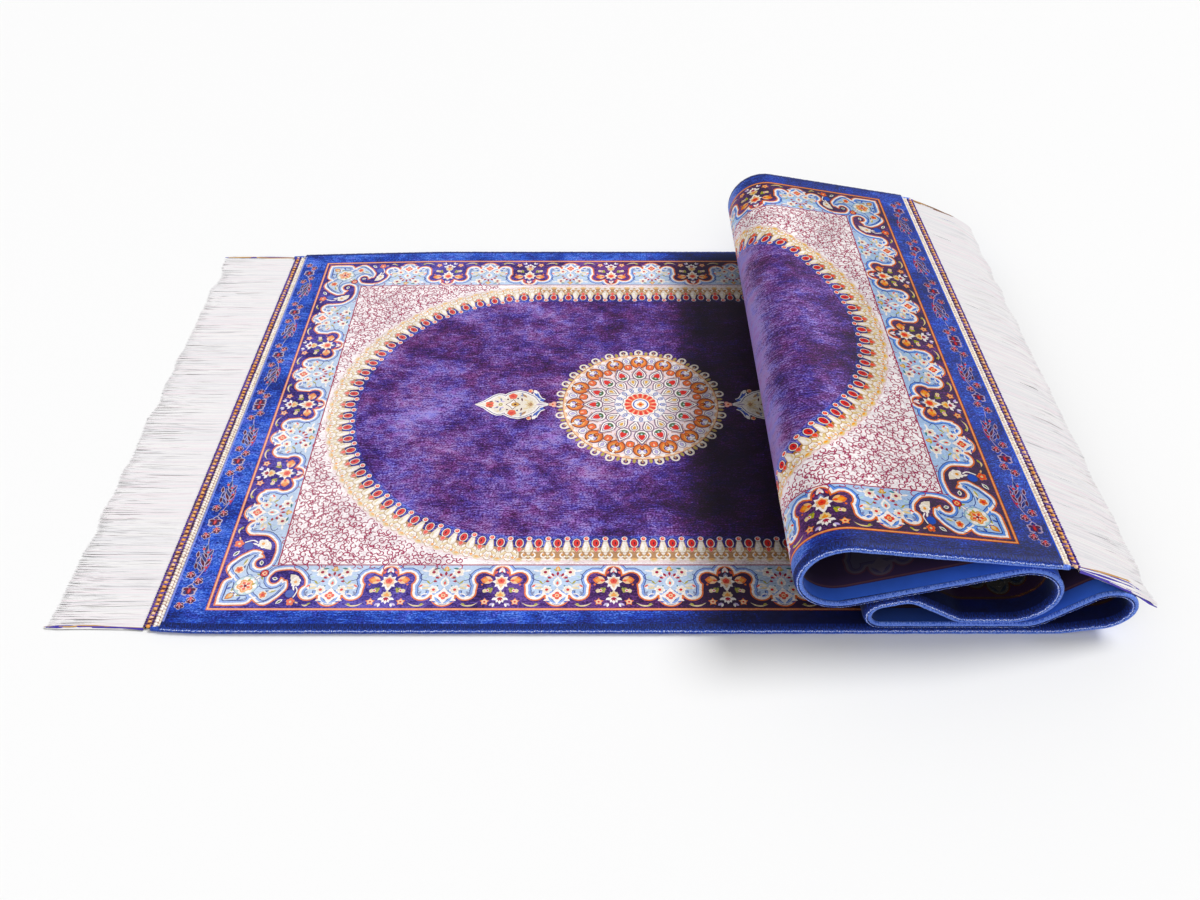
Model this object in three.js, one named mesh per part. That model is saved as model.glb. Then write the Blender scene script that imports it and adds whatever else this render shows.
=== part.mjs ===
// A machine-made runner rug, folded back and forth on itself at its right end and lying pile side up.
// Millimetres, +Z up. X runs along the rug from its left end, Y across it from the front edge to the back,
// and the floor is z = 0. The folds run straight across the rug, and differ a little from front to back.
import * as THREE from "three";

// Driving sizes.
const WIDTH = 602; // over both side bindings
const THICKNESS = 7.5; // pile and ground weave together, also the width of a side binding
const LAYER_GAP = 1; // between two layers that lie on each other
const PIECE_GAP = 0.3; // between separate pieces
const KILIM_LENGTH = 14; // flat-woven band at each end, one with the cloth
const KILIM_THICKNESS = 3;
const PILE_STEP = 1; // run over which the pile rises from a flat-woven band
const FRINGE_LENGTH = 97;
const FRINGE_THICKNESS = 2.4;
const FRINGE_HEADER = 5; // knotted edge that all the strands leave
const FRINGE_TEETH = 40; // bunches of strands
const TOOTH_SHARE = 0.72; // share of a tooth's pitch that the tooth fills
const LEFT_INSET = 7; // each side draws in by this much at the left end
const INSET_RUN = 260; // and is back at full width after this run
const ARC_STEP = 10; // degrees between two sections of a fold
const CROSS_STEPS = 4; // strips across the cloth
const BINDING_SIDES = 8;

const MIDDLE = THICKNESS / 2; // from either face to the cloth's middle line
const SECOND = MIDDLE + THICKNESS + LAYER_GAP; // height of the second layer's middle line
const THIRD = SECOND + THICKNESS + LAYER_GAP;
const LIFT = 90;
const SETTLE = 28;
const LOOP_LEFT = 15.5;
const LANDING = 24;
const LOOP_MIDDLE = { front: 33.4, back: 30.8 };
const LOOP_FLOOR = { x: 841, z: 34, radius: 23 };
const FREE_END = { x: [789.5, 792.5], z: [94.6, 85.5] };

// The cloth's middle line runs like a belt round these rollers, from the left end on the floor to the free
// end on top. turn 1 bends to the left of travel and -1 to the right. x is measured from the left end, and a
// pair of numbers is the value at the front edge and at the back edge.
const CLOTH_ROLLERS = [
  { fold: "left end", turn: 1, radius: 0, x: 0, z: MIDDLE },
  { fold: "lift off the floor", turn: 1, radius: LIFT, x: 800, z: MIDDLE + LIFT },
  { fold: "right loop on the floor", turn: 1, ...LOOP_FLOOR },
  { fold: "settling on the floor layer", turn: -1, radius: SETTLE, x: 774, z: SECOND + SETTLE },
  { fold: "small left loop", turn: -1, radius: LOOP_LEFT, x: 650.5, z: SECOND + LOOP_LEFT },
  { fold: "hump", turn: -1, radius: 22.5, x: 666, z: [25.6, 24.2] },
  { fold: "landing on the second layer", turn: 1, radius: LANDING, x: 724, z: THIRD + LANDING },
  {
    fold: "middle right loop",
    turn: 1,
    radius: [LOOP_MIDDLE.front, LOOP_MIDDLE.back],
    x: [759, 761],
    z: [THIRD + LOOP_MIDDLE.front, THIRD + LOOP_MIDDLE.back],
  },
  { fold: "top left loop", turn: -1, radius: [38, 37.6], x: [605.5, 604.5], z: [80, 79.6] },
  { fold: "free end", turn: 1, radius: 0, ...FREE_END },
];

// The left fringe lies flat on the floor. The right one leaves the free end, comes down onto the right loop
// and bends over it.
const FRINGE_START = 1; // beyond the free end, so that its bend clears the cloth
const FRINGE_DROP = MIDDLE - KILIM_THICKNESS / 2; // from the cloth's middle line to its kilim band's
const FRINGE_SEAT = 0.45; // above the loop it rests on, so that its facets clear the loop's
const FRINGE_REST = MIDDLE + FRINGE_SEAT + FRINGE_THICKNESS / 2; // from the loop's middle line to its own
const LEFT_FRINGE_ROLLERS = [
  { fold: "kilim edge", turn: 1, radius: 0, x: -PIECE_GAP, z: FRINGE_THICKNESS / 2 },
  { fold: "fringe tip", turn: 1, radius: 0, x: -FRINGE_LENGTH, z: FRINGE_THICKNESS / 2 },
];
const RIGHT_FRINGE_ROLLERS = [
  {
    fold: "kilim edge",
    turn: 1,
    radius: 0,
    x: FREE_END.x.map((x) => x + FRINGE_START),
    z: FREE_END.z.map((z) => z - FRINGE_DROP),
  },
  {
    fold: "over the right loop",
    turn: -1,
    x: LOOP_FLOOR.x,
    z: LOOP_FLOOR.z,
    radius: LOOP_FLOOR.radius + FRINGE_REST,
  },
  { fold: "fringe tip", turn: 1, radius: 0, x: 878, z: 44 },
];

const mix = (pair, v) => (Array.isArray(pair) ? pair[0] + (pair[1] - pair[0]) * v : pair);

// The straight runs and arcs of a belt at v, which is 0 at the front edge and 1 at the back edge.
// Each piece has its length and at(share), the place and heading at that share of its length.
function beltPieces(rollers, v) {
  const rows = rollers.map((row) => ({
    turn: row.turn,
    x: mix(row.x, v),
    z: mix(row.z, v),
    radius: mix(row.radius, v),
  }));
  const onRoller = (row, heading) => ({
    x: row.x + row.turn * row.radius * Math.sin(heading),
    z: row.z - row.turn * row.radius * Math.cos(heading),
    heading,
  });
  const headings = rows.slice(1).map((next, i) => {
    const row = rows[i];
    const across = next.turn * next.radius - row.turn * row.radius;
    const apart = Math.hypot(next.x - row.x, next.z - row.z);
    return Math.atan2(next.z - row.z, next.x - row.x) - Math.asin(across / apart);
  });
  const pieces = [];
  headings.forEach((heading, i) => {
    const from = onRoller(rows[i], heading);
    const to = onRoller(rows[i + 1], heading);
    pieces.push({
      length: Math.hypot(to.x - from.x, to.z - from.z),
      bend: 0,
      at: (share) => ({ x: mix([from.x, to.x], share), z: mix([from.z, to.z], share), heading }),
    });
    if (i + 1 === headings.length) return;
    const roller = rows[i + 1];
    const fullTurn = 2 * Math.PI;
    const bend = (((headings[i + 1] - heading) * roller.turn) % fullTurn + fullTurn) % fullTurn;
    pieces.push({
      length: roller.radius * bend,
      bend,
      at: (share) => onRoller(roller, heading + roller.turn * bend * share),
    });
  });
  return pieces;
}

// Sections of a belt, as pairs of a piece's index and the share of its length. extra gives distances from the
// belt's two ends at which a section is added.
function beltSections(rollers, extra) {
  const pieces = beltPieces(rollers, 0.5);
  const sections = [{ piece: 0, share: 0 }];
  pieces.forEach(({ length, bend }, piece) => {
    const shares = [];
    if (piece === 0) extra.fromStart.forEach((run) => shares.push(run / length));
    if (piece === pieces.length - 1) extra.fromEnd.forEach((run) => shares.push(1 - run / length));
    const steps = Math.max(1, Math.round(THREE.MathUtils.radToDeg(bend) / ARC_STEP));
    for (let k = 1; k <= steps; k++) shares.push(k / steps);
    shares.sort((a, b) => a - b).forEach((share) => sections.push({ piece, share }));
  });
  return sections;
}

// Where a belt's sections lie at v: place, the normal on its left, and the distances from its start and end.
function beltAt(rollers, sections, v) {
  const pieces = beltPieces(rollers, v);
  const total = pieces.reduce((sum, piece) => sum + piece.length, 0);
  return sections.map(({ piece, share }) => {
    const { x, z, heading } = pieces[piece].at(share);
    const before = pieces.slice(0, piece).reduce((sum, one) => sum + one.length, 0);
    const start = before + pieces[piece].length * share;
    return { x, z, nx: -Math.sin(heading), nz: Math.cos(heading), start, end: total - start };
  });
}

// Half the rug's width at a distance from its left end.
function halfWidth(start) {
  const left = Math.max(0, 1 - start / INSET_RUN);
  return WIDTH / 2 - LEFT_INSET * left * left;
}

function geometryOf(triangles) {
  const geometry = new THREE.BufferGeometry();
  const numbers = triangles.flat().flatMap((point) => point.toArray());
  geometry.setAttribute("position", new THREE.Float32BufferAttribute(numbers, 3));
  geometry.computeVertexNormals();
  return geometry;
}

const quad = (a, b, c, d) => [[a, b, c], [a, c, d]];

// A closed sheet over a grid of cells. point(i, j, top) gives its faces' corners, and filled(i, j) says which
// cells have material: i counts along the sheet and j across it.
function sheetSolid(rows, columns, point, filled) {
  const triangles = [];
  const has = (i, j) => i >= 0 && j >= 0 && i < rows && j < columns && filled(i, j);
  const wall = (i0, j0, i1, j1) =>
    triangles.push(...quad(point(i0, j0, 0), point(i1, j1, 0), point(i1, j1, 1), point(i0, j0, 1)));
  for (let i = 0; i < rows; i++) {
    for (let j = 0; j < columns; j++) {
      if (!has(i, j)) continue;
      const corners = [[i, j], [i + 1, j], [i + 1, j + 1], [i, j + 1]];
      const face = (top) => corners.map(([along, across]) => point(along, across, top));
      triangles.push(...quad(...face(1)), ...quad(...face(0).reverse()));
      if (!has(i, j - 1)) wall(i, j, i + 1, j);
      if (!has(i + 1, j)) wall(i + 1, j, i + 1, j + 1);
      if (!has(i, j + 1)) wall(i + 1, j + 1, i, j + 1);
      if (!has(i - 1, j)) wall(i, j + 1, i, j);
    }
  }
  return geometryOf(triangles);
}

// A closed tube through rings that all have the same number of points.
function tubeSolid(rings) {
  const triangles = [];
  const sides = rings[0].length;
  rings.slice(1).forEach((ring, i) => {
    for (let k = 0; k < sides; k++) {
      const next = (k + 1) % sides;
      triangles.push(...quad(rings[i][k], ring[k], ring[next], rings[i][next]));
    }
  });
  const first = rings[0];
  const last = rings.at(-1);
  for (let k = 1; k + 1 < sides; k++) {
    triangles.push([first[0], first[k], first[k + 1]], [last[0], last[k + 1], last[k]]);
  }
  return geometryOf(triangles);
}

// The cloth: pile, ground weave and the two flat-woven end bands, one piece.
const clothSections = beltSections(CLOTH_ROLLERS, {
  fromStart: [KILIM_LENGTH, KILIM_LENGTH + PILE_STEP, INSET_RUN / 4, INSET_RUN / 2, INSET_RUN],
  fromEnd: [KILIM_LENGTH, KILIM_LENGTH + PILE_STEP],
});

function clothSolid() {
  const lines = [];
  for (let j = 0; j <= CROSS_STEPS; j++) lines.push(beltAt(CLOTH_ROLLERS, clothSections, j / CROSS_STEPS));
  const point = (i, j, top) => {
    const at = lines[j][i];
    const banded = Math.min(at.start, at.end) < KILIM_LENGTH + PILE_STEP / 2;
    const above = banded ? KILIM_THICKNESS - MIDDLE : MIDDLE;
    const offset = top ? above : -MIDDLE;
    const half = halfWidth(at.start) - THICKNESS - PIECE_GAP;
    const y = half * (2 * (j / CROSS_STEPS) - 1);
    return new THREE.Vector3(at.x + at.nx * offset, y, at.z + at.nz * offset);
  };
  return sheetSolid(clothSections.length - 1, CROSS_STEPS, point, () => true);
}

// A side binding: a round cord of overcast yarn that follows the folded edge. side is -1 at the front.
function bindingSolid(side) {
  const line = beltAt(CLOTH_ROLLERS, clothSections, side < 0 ? 0 : 1);
  const rings = line.map((at) => {
    const ring = [];
    for (let k = 0; k < BINDING_SIDES; k++) {
      const angle = (2 * Math.PI * (k + 0.5)) / BINDING_SIDES;
      const flatRadius = MIDDLE / Math.cos(Math.PI / BINDING_SIDES);
      const offset = flatRadius * Math.cos(angle);
      const y = side * (halfWidth(at.start) - MIDDLE) + flatRadius * Math.sin(angle);
      ring.push(new THREE.Vector3(at.x + at.nx * offset, y, at.z + at.nz * offset));
    }
    return ring;
  });
  return tubeSolid(rings);
}

// A fringe: one comb, its bunches of strands leaving a knotted edge. It follows a belt of its own.
function fringeSolid(rollers, half) {
  const sections = beltSections(rollers, { fromStart: [FRINGE_HEADER], fromEnd: [] });
  const pitch = (2 * half) / (FRINGE_TEETH - 1 + TOOTH_SHARE);
  const columns = 2 * FRINGE_TEETH - 1;
  const acrossAt = (j) => pitch * (Math.floor(j / 2) + (j % 2) * TOOTH_SHARE) - half;
  const lines = [];
  for (let j = 0; j <= columns; j++) lines.push(beltAt(rollers, sections, acrossAt(j) / (2 * half) + 0.5));
  const point = (i, j, top) => {
    const at = lines[j][i];
    const offset = (top - 0.5) * FRINGE_THICKNESS;
    return new THREE.Vector3(at.x + at.nx * offset, acrossAt(j), at.z + at.nz * offset);
  };
  return sheetSolid(sections.length - 1, columns, point, (i, j) => i === 0 || j % 2 === 0);
}

const rug = new THREE.Group();

function addPiece(name, geometry, color, roughness) {
  const material = new THREE.MeshStandardMaterial({ color, roughness, metalness: 0 });
  const mesh = new THREE.Mesh(geometry, material);
  mesh.name = name;
  rug.add(mesh);
}

const VIOLET_PILE = 0x33265f;
const BLUE_YARN = 0x3350b4;
const OFF_WHITE_YARN = 0xe4e0dc;
addPiece("rug_cloth", clothSolid(), VIOLET_PILE, 0.85);
addPiece("binding_front", bindingSolid(-1), BLUE_YARN, 0.8);
addPiece("binding_back", bindingSolid(1), BLUE_YARN, 0.8);
addPiece("fringe_left", fringeSolid(LEFT_FRINGE_ROLLERS, halfWidth(0)), OFF_WHITE_YARN, 0.9);
addPiece("fringe_right", fringeSolid(RIGHT_FRINGE_ROLLERS, WIDTH / 2), OFF_WHITE_YARN, 0.9);

// The origin is the middle of the whole rug's footprint.
const box = new THREE.Box3().setFromObject(rug, true);
rug.position.x = -(box.min.x + box.max.x) / 2;
rug.updateMatrixWorld(true);

export default rug;
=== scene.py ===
# A folded machine-made runner rug: cut pile in a medallion pattern, woven backing, overcast sides,
# chain-stitched flat bands and fringes. Metres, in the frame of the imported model.
import math
import random
from collections import namedtuple

import bpy
import numpy as np
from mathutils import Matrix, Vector
from mathutils.bvhtree import BVHTree
from mathutils.geometry import delaunay_2d_cdt


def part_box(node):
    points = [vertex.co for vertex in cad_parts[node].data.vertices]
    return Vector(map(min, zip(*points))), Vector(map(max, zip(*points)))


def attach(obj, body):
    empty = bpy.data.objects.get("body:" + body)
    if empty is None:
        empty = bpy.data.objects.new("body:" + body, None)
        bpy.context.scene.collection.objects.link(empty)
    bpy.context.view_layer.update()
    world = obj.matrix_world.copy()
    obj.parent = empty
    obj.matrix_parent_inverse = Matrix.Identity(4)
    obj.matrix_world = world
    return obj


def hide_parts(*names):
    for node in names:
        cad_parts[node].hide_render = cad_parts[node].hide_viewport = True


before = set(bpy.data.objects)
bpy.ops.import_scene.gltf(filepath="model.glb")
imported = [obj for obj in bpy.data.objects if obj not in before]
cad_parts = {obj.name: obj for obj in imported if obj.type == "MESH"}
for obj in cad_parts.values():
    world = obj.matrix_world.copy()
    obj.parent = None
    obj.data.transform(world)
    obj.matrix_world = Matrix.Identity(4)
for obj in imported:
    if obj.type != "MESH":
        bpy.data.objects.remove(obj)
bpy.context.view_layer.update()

# --------------------
# The pattern, drawn flat in millimetres: a runs from an end of the pile to the middle of the rug, and t from
# the long centre line to a side. The other three quarters are its mirror images.
# --------------------
PILE_LENGTH = 1827
PILE_HALF = 293.5
HALF_LENGTH = PILE_LENGTH / 2
REACH_A, REACH_T = HALF_LENGTH + 60, PILE_HALF + 60  # long shapes run on past the quarter, to here
END_GUARD = 33  # plain blue edge along an end
SIDE_GUARD = 15.3  # and along a side, beside the binding
LINE = 4  # the orange line that frames the border
BORDER = 49
INNER_LINE = 1.2
BORDER_A = END_GUARD + LINE
BORDER_T = PILE_HALF - SIDE_GUARD - LINE
PANEL_A = BORDER_A + BORDER + INNER_LINE
PANEL_T = BORDER_T - BORDER - INNER_LINE
RING_GAP = 2.5  # between the oval ring and the crimson line at its widest
RING_RADIUS = PANEL_T - RING_GAP
RING_A = PANEL_A + RING_GAP + RING_RADIUS  # where the ring's round end becomes straight
RING_PITCH = 18.35
DROP_DEPTH = 23  # of the middle of its drops
MEDALLION_A = 432
LOBE_PITCH = 103.7

PALETTE = {
    "plum": 0x3C2272, "wine": 0x3A1450, "orange": 0xE8742E, "rust": 0xB8601E, "amber": 0xF0A24C,
    "peach": 0xF6C79C, "white": 0xFAF3EE, "cream": 0xEFE4D4, "butter": 0xE8D2A6, "olive": 0xAFA84C,
    "moss": 0x54704A, "teal": 0x3F7F86, "aqua": 0xBFD9DC, "pale": 0xBCD0EC, "sky": 0x8CAAE8,
    "royal": 0x4260BE, "navy": 0x26327E, "slate": 0x8A92B8, "mist": 0xB9A9C4, "lilac": 0xC9B8E4,
    "crimson": 0xA8123F, "claret": 0xA41450, "maroon": 0x5E1636, "red": 0xDC2822, "coral": 0xEE5B45,
    "pink": 0xF3A9A2, "rose": 0xF2DCDD, "tan": 0xB98C62, "brown": 0x8A3E1E, "sand": 0xE4D0A4,
    "gold": 0xD9A443, "marigold": 0xF2B36A, "ivory": 0xFBF2E2, "violet": 0x5A3CA8, "rim": 0x6F82E0,
    "guard": 0x2A4CB8, "halo": 0x4F4FC4, "field": 0x4B2A8C, "thread": 0xF7ECE9,
}

# A coloured outline. It isn't painted where a patch marked with the name in cut lies.
Patch = namedtuple("Patch", "outline colour mark cut", defaults=(None, None))


def turned(points, x, y, turn):
    angle = math.radians(turn)
    spin = np.array([[math.cos(angle), math.sin(angle)], [-math.sin(angle), math.cos(angle)]])
    return np.asarray(points, float) @ spin + (x, y)


def polar(radius, angle, across=None):
    """Points at these distances and angles round 0, 0. across is the radius in y where it differs."""
    return np.stack([radius * np.cos(angle), (radius if across is None else across) * np.sin(angle)], 1)


def oval(colour, x, y, along, across, turn=0.0, points=None):
    """An ellipse. turn is in degrees, and along is the half length in that direction."""
    mean = (along + across) / 2
    count = points or int(6 + 2.2 * min(mean, 9) + 1.6 * max(0, mean - 9) ** 0.97)
    angle = np.linspace(0, 2 * math.pi, count, endpoint=False)
    return Patch(turned(polar(along, angle, across), x, y, turn), colour)


def disc(colour, x, y, radius, points=None):
    return oval(colour, x, y, radius, radius, 0, points)


def petal(colour, x, y, length, width, turn, blunt=0.5):
    """A petal or leaf from its foot at x, y. It is widest at the share blunt of its length."""
    share = np.linspace(0, 1, 4 if length < 5 else 5)[1:-1]
    power = math.log(0.5) / math.log(blunt)
    half = width / 2 * np.sin(math.pi * share**power)
    side = np.stack([share * length, half], 1)
    points = np.concatenate([[[0, 0]], side * (1, -1), [[length, 0]], side[::-1]])
    return Patch(turned(points, x, y, turn), colour)


def rosette(colour, x, y, radius, lobes, depth=0.28, turn=0.0, steps=4):
    """A flower's outline with round lobes."""
    angle = np.linspace(0, 2 * math.pi, lobes * steps, endpoint=False)
    reach = radius * (1 - depth + depth * np.abs(np.cos(angle * lobes / 2)) ** 0.7)
    return Patch(turned(polar(reach, angle), x, y, turn), colour)


def star(colour, x, y, radius, points, inner=0.5, turn=0.0):
    angle = np.linspace(0, 2 * math.pi, points * 2, endpoint=False)
    reach = radius * np.where(np.arange(points * 2) % 2 == 0, 1, inner)
    return Patch(turned(polar(reach, angle), x, y, turn), colour)


def smooth(points, steps=3):
    """More points on the curve through these."""
    points = np.asarray(points, float)
    ends = np.concatenate([[2 * points[0] - points[1]], points, [2 * points[-1] - points[-2]]])
    made = []
    for p0, p1, p2, p3 in zip(ends, ends[1:], ends[2:], ends[3:]):
        for step in range(steps):
            s = step / steps
            bend = 2 * p0 - 5 * p1 + 4 * p2 - p3
            twist = 3 * p1 - p0 - 3 * p2 + p3
            made.append(p1 + 0.5 * s * ((p2 - p0) + s * (bend + s * twist)))
    return np.array(made + [points[-1]])


def ribbon(colour, path, width, tapered=False):
    """A thin band along a path. A tapered one is widest in its middle."""
    path = np.asarray(path, float)
    along = np.gradient(path, axis=0)
    normal = np.stack([-along[:, 1], along[:, 0]], 1) / np.linalg.norm(along, axis=1)[:, None]
    share = np.linspace(0, 1, len(path))
    profile = np.sin(math.pi * share) if tapered else np.ones(len(path))
    half = width / 2 * np.maximum(profile, 0.06)[:, None]
    return Patch(np.concatenate([path - normal * half, (path + normal * half)[::-1]]), colour)


def stroke(colour, width, steps, *points, tapered=False):
    """A ribbon on the curve through these points, with this many steps from each to the next."""
    return ribbon(colour, smooth(points, steps), width, tapered)


def spiral(x, y, start_radius, end_radius, start, end, steps=9):
    """Path of a curl round x, y, between two angles in degrees."""
    angle = np.radians(np.linspace(start, end, steps))
    return polar(np.linspace(start_radius, end_radius, steps), angle) + (x, y)


def capsule(colour, x0, y0, r0, x1, y1, r1):
    """The outline round two discs."""
    span = math.hypot(x1 - x0, y1 - y0)
    heading = math.atan2(y1 - y0, x1 - x0)
    lean = math.acos(max(-1.0, min(1.0, (r0 - r1) / span)))
    far = np.linspace(heading - lean, heading + lean, 8)
    near = np.linspace(heading + lean, heading - lean + 2 * math.pi, 8)
    return Patch(np.concatenate([polar(r1, far) + (x1, y1), polar(r0, near) + (x0, y0)]), colour)


def block(colour, x0, y0, x1, y1):
    return Patch(np.array([[x0, y0], [x1, y0], [x1, y1], [x0, y1]], float), colour)


def moved(patches, x=0.0, y=0.0, scale=(1, 1), swap=False):
    """Copies of patches with their axes swapped, scaled and moved, in that order."""
    return [p._replace(outline=(p.outline[:, ::-1] if swap else p.outline) * scale + (x, y)) for p in patches]


def placed(patches, x, y, turn):
    """Copies of patches, turned and moved."""
    return [p._replace(outline=turned(p.outline, x, y, turn)) for p in patches]


def both_sides(patches):
    return patches + moved(patches, scale=(-1, 1))


def both_sides_across(patches):
    return patches + moved(patches, scale=(1, -1))


def blossom(x, y, radius, petals, rim, fill, heart, turn=0.0):
    """A small flower with round petals."""
    return [
        rosette(rim, x, y, radius, petals, 0.3, turn),
        rosette(fill, x, y, radius * 0.72, petals, 0.34, turn, 3),
        disc(heart, x, y, radius * 0.3, 7),
    ]


def fan(colour, x, y, length, width, turn, spread, count, blunt=0.6):
    """Petals that fan out from a foot, with the middle ones topmost."""
    made = []
    for angle in sorted(np.linspace(-spread / 2, spread / 2, count), key=lambda angle: -abs(angle)):
        reach = length * (1 - 0.25 * abs(angle) / max(spread / 2, 1))
        made.append(petal(colour, x, y, reach, width, turn + angle, blunt))
    return made


def foot_of(x, y, radius, turn):
    """The place at a distance from x, y in a direction."""
    return turned([[radius, 0]], x, y, turn)[0]


# The border: dark lobes rise from a dark edge into a light ground, whose own lobes cut into that edge. x runs
# along the border and y inwards from its outer edge. FRAME_LINES are distances outwards and colours. BANDS
# are nested: how far each reaches beyond the lobes, and its colour. A lobe is made of capsules, each with x,
# y and radius at its two ends, or of discs.
EDGE_STRIP = 13  # of the dark edge
FRAME_LINES = [(0, "wine"), (0.8, "orange"), (1.6, "peach"), (2.3, "orange"), (3.2, "wine"), (4, "guard")]
BANDS = [(6.6, "navy"), (5.9, "sky"), (3.7, "white"), (1.5, "orange"), (0.0, "plum")]
DARK_LOBE = [
    (0, 40, 6.7, 0, 12, 8), (-12.5, 30, 8, -13.5, 8, 9.5), (12.5, 30, 8, 13.5, 8, 9.5),
    (-16.6, 32.9, 7.2, -14, 31, 7), (16.6, 32.9, 7.2, 14, 31, 7),
]
LIGHT_LOBES = [(0, 12.5, 11.7), (-20, 17.8, 10.2), (20, 17.8, 10.2)]


def dark_flowers():
    """What grows in a dark lobe."""
    side = [
        petal("orange", 7.5, 31, 12, 8.4, 6, 0.62), petal("amber", 9.5, 31.2, 8, 5, 6),
        petal("peach", 8, 32, 8, 3, 32), petal("peach", 8, 30.4, 8, 3, -20),
        disc("coral", 10.6, 31.3, 1.5, 7), petal("olive", 8.6, 17, 6.6, 7.5, 62, 0.6),
        petal("butter", 11.6, 18.2, 5.4, 5, 20, 0.6), disc("rose", 12, 19.6, 1.7, 7),
        disc("coral", 12, 19.6, 0.9, 6), stroke("moss", 0.7, 2, (7, 24), (9, 22.5), (10.5, 20.5)),
        petal("lilac", 5.4, 5.4, 5.4, 2.6, -38), petal("white", 4.8, 5, 4.8, 2.4, -72),
        petal("white", 3.4, 11.5, 5, 2.6, -35),
        stroke("butter", 1.7, 3, (20, 5.6), (25, 2.4), (31, 1.9), (36, 3.8), tapered=True),
        petal("olive", 31, 2.2, 4.6, 2.4, 38), disc("orange", 17.5, 26.5, 1.1, 6),
        petal("coral", 4.2, 42.6, 4.4, 2.2, -62),
    ]
    made = both_sides(side)
    for x in (-13.8, 13.8):
        made += [
            star("orange", x, 6.6, 4.6, 5, 0.55, 90), rosette("peach", x, 6.6, 2.9, 5, 0.3, 90, 3),
            disc("red", x, 6.6, 1.1, 6),
        ]
    made += [
        petal("slate", 0, 34, 6.4, 4.6, 90, 0.4), star("white", 0, 29.8, 8.4, 8, 0.66, 90),
        petal("white", 0, 28, 9.4, 6.6, -90, 0.35), rosette("peach", 0, 30.2, 5.4, 6, 0.25, 90),
        petal("peach", 0, 29, 6.8, 4, -90, 0.35), rosette("coral", 0, 30.6, 3.5, 5, 0.3, 90, 3),
        disc("red", 0, 30.8, 1.2, 6),
    ]
    made += fan("butter", 0, 12, 7.8, 3.8, 90, 110, 5)
    made += fan("amber", 0, 12.4, 5, 2.6, 90, 80, 3)
    made += fan("white", 0, 12.6, 8.8, 3, -90, 100, 5)
    made += fan("crimson", 0, 12, 5.6, 1.7, -90, 84, 4, 0.5)
    made += [
        petal("rose", 0, 41, 6, 5.4, 90, 0.4), petal("white", -2.7, 40.3, 4.2, 2.3, 66),
        petal("white", 2.8, 40.2, 4.2, 2.3, 115), disc("coral", 0, 41.6, 0.9, 6),
    ]
    return made


def light_flowers():
    """What grows on the light ground between two dark lobes."""
    side = blossom(11.6, 41, 5.8, 6, "white", "cream", "crimson", 20)
    side += blossom(9.7, 20.6, 5.2, 6, "white", "cream", "red", 10)
    side += [
        petal("cream", 13.5, 25, 9, 3.4, 14), petal("butter", 13, 23.4, 8, 2.8, -12),
        petal("olive", 13.4, 27, 6, 2, 50), stroke("olive", 0.6, 2, (3, 38), (7, 36), (11, 30), (14, 27)),
        petal("aqua", 17, 37, 5.6, 2.2, -34), petal("white", 16.6, 42, 6.6, 2.4, 12),
        stroke("navy", 0.7, 2, (17, 31), (22, 32.5), (24, 36), (21, 39)), petal("sky", 5, 14, 6, 2.4, 22),
        disc("teal", 6.6, 25, 0.9, 6), petal("white", 4, 34, 6, 2.6, 60),
        petal("teal", 6, 45.6, 6, 2.2, -8), petal("slate", 3.4, 19, 6, 2.4, 150),
        petal("white", 14.4, 16, 7, 3, -20), petal("royal", 15.4, 15, 5, 1.6, -20),
        petal("white", 20.6, 20.6, 5.6, 2.6, 70), petal("slate", 24, 14.6, 5.6, 2.6, 130),
        petal("white", 19, 11.4, 5, 2.2, 20), petal("coral", 20, 26.6, 5, 2, -40),
        petal("white", 7.6, 9.6, 5, 2.2, -20), petal("royal", 5.6, 6.2, 4.6, 1.8, 10),
    ]
    made = both_sides(side)
    for k in range(-3, 4):
        foot = foot_of(0, 29.2, 7.2, 90 + 27 * k)
        made.append(petal("crimson", *foot, 5.4 - 0.5 * abs(k), 2.7, 90 + 30 * k, 0.55))
    for k in (-1.5, -0.5, 0.5, 1.5):
        foot = foot_of(0, 29.2, 6.2, 90 + 30 * k)
        made.append(petal("pink", *foot, 3.6, 1.5, 90 + 30 * k, 0.55))
    made += [
        petal("white", 0, 23.5, 12.6, 8.6, 90, 0.42), petal("aqua", 0, 25, 8.2, 4.8, 90, 0.42),
        petal("coral", 0, 26, 4.8, 2.6, 90, 0.42), petal("amber", 0, 41.6, 6.8, 4.6, 90, 0.55),
        petal("butter", 0, 42.6, 4.4, 2.2, 90, 0.5), petal("olive", -0.6, 42, 4.6, 1.8, 140),
        petal("olive", 0.6, 42, 4.6, 1.8, 40), star("white", 0, 13.8, 9.4, 4, 0.62, 90),
        rosette("coral", 0, 13.8, 4.6, 4, 0.34, 90), rosette("peach", 0, 13.8, 2.2, 4, 0.3, 45, 3),
        disc("red", 0, 13.8, 0.8, 6), stroke("navy", 0.6, 2, (-4, 4.4), (0, 3.2), (4, 4.4)),
    ]
    return made


# The corner, in distances from the border's outer corner. The same scroll, a row of joined discs, lies on
# both sides of its diagonal.
SCROLL = [
    (52, 33.6, 5.4), (53.5, 37.6, 4.2), (58, 39.4, 3.4), (65.5, 38, 5.4), (71.5, 34, 8), (76, 28, 9.2),
    (76.3, 18, 9.6), (73.5, 9, 12),
]
CORNER_LOBES = [
    (10.5, 10.5, 9, 27, 11, 9), (22, 22, 14, 35, 33, 6.5), (46.5, 12.6, 11, 38, 20, 11),
    (46.5, 12.6, 11, 55, 18, 9.4), (55, 18, 9.4, 61.5, 23.6, 7.4), (61.5, 23.6, 7.4, 64.4, 29.4, 3),
]
CORNER_FREE = 40
CORNER_SQUEEZE = 0.925**2  # the scale along a side of what lies further than CORNER_FREE from the corner


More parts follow.
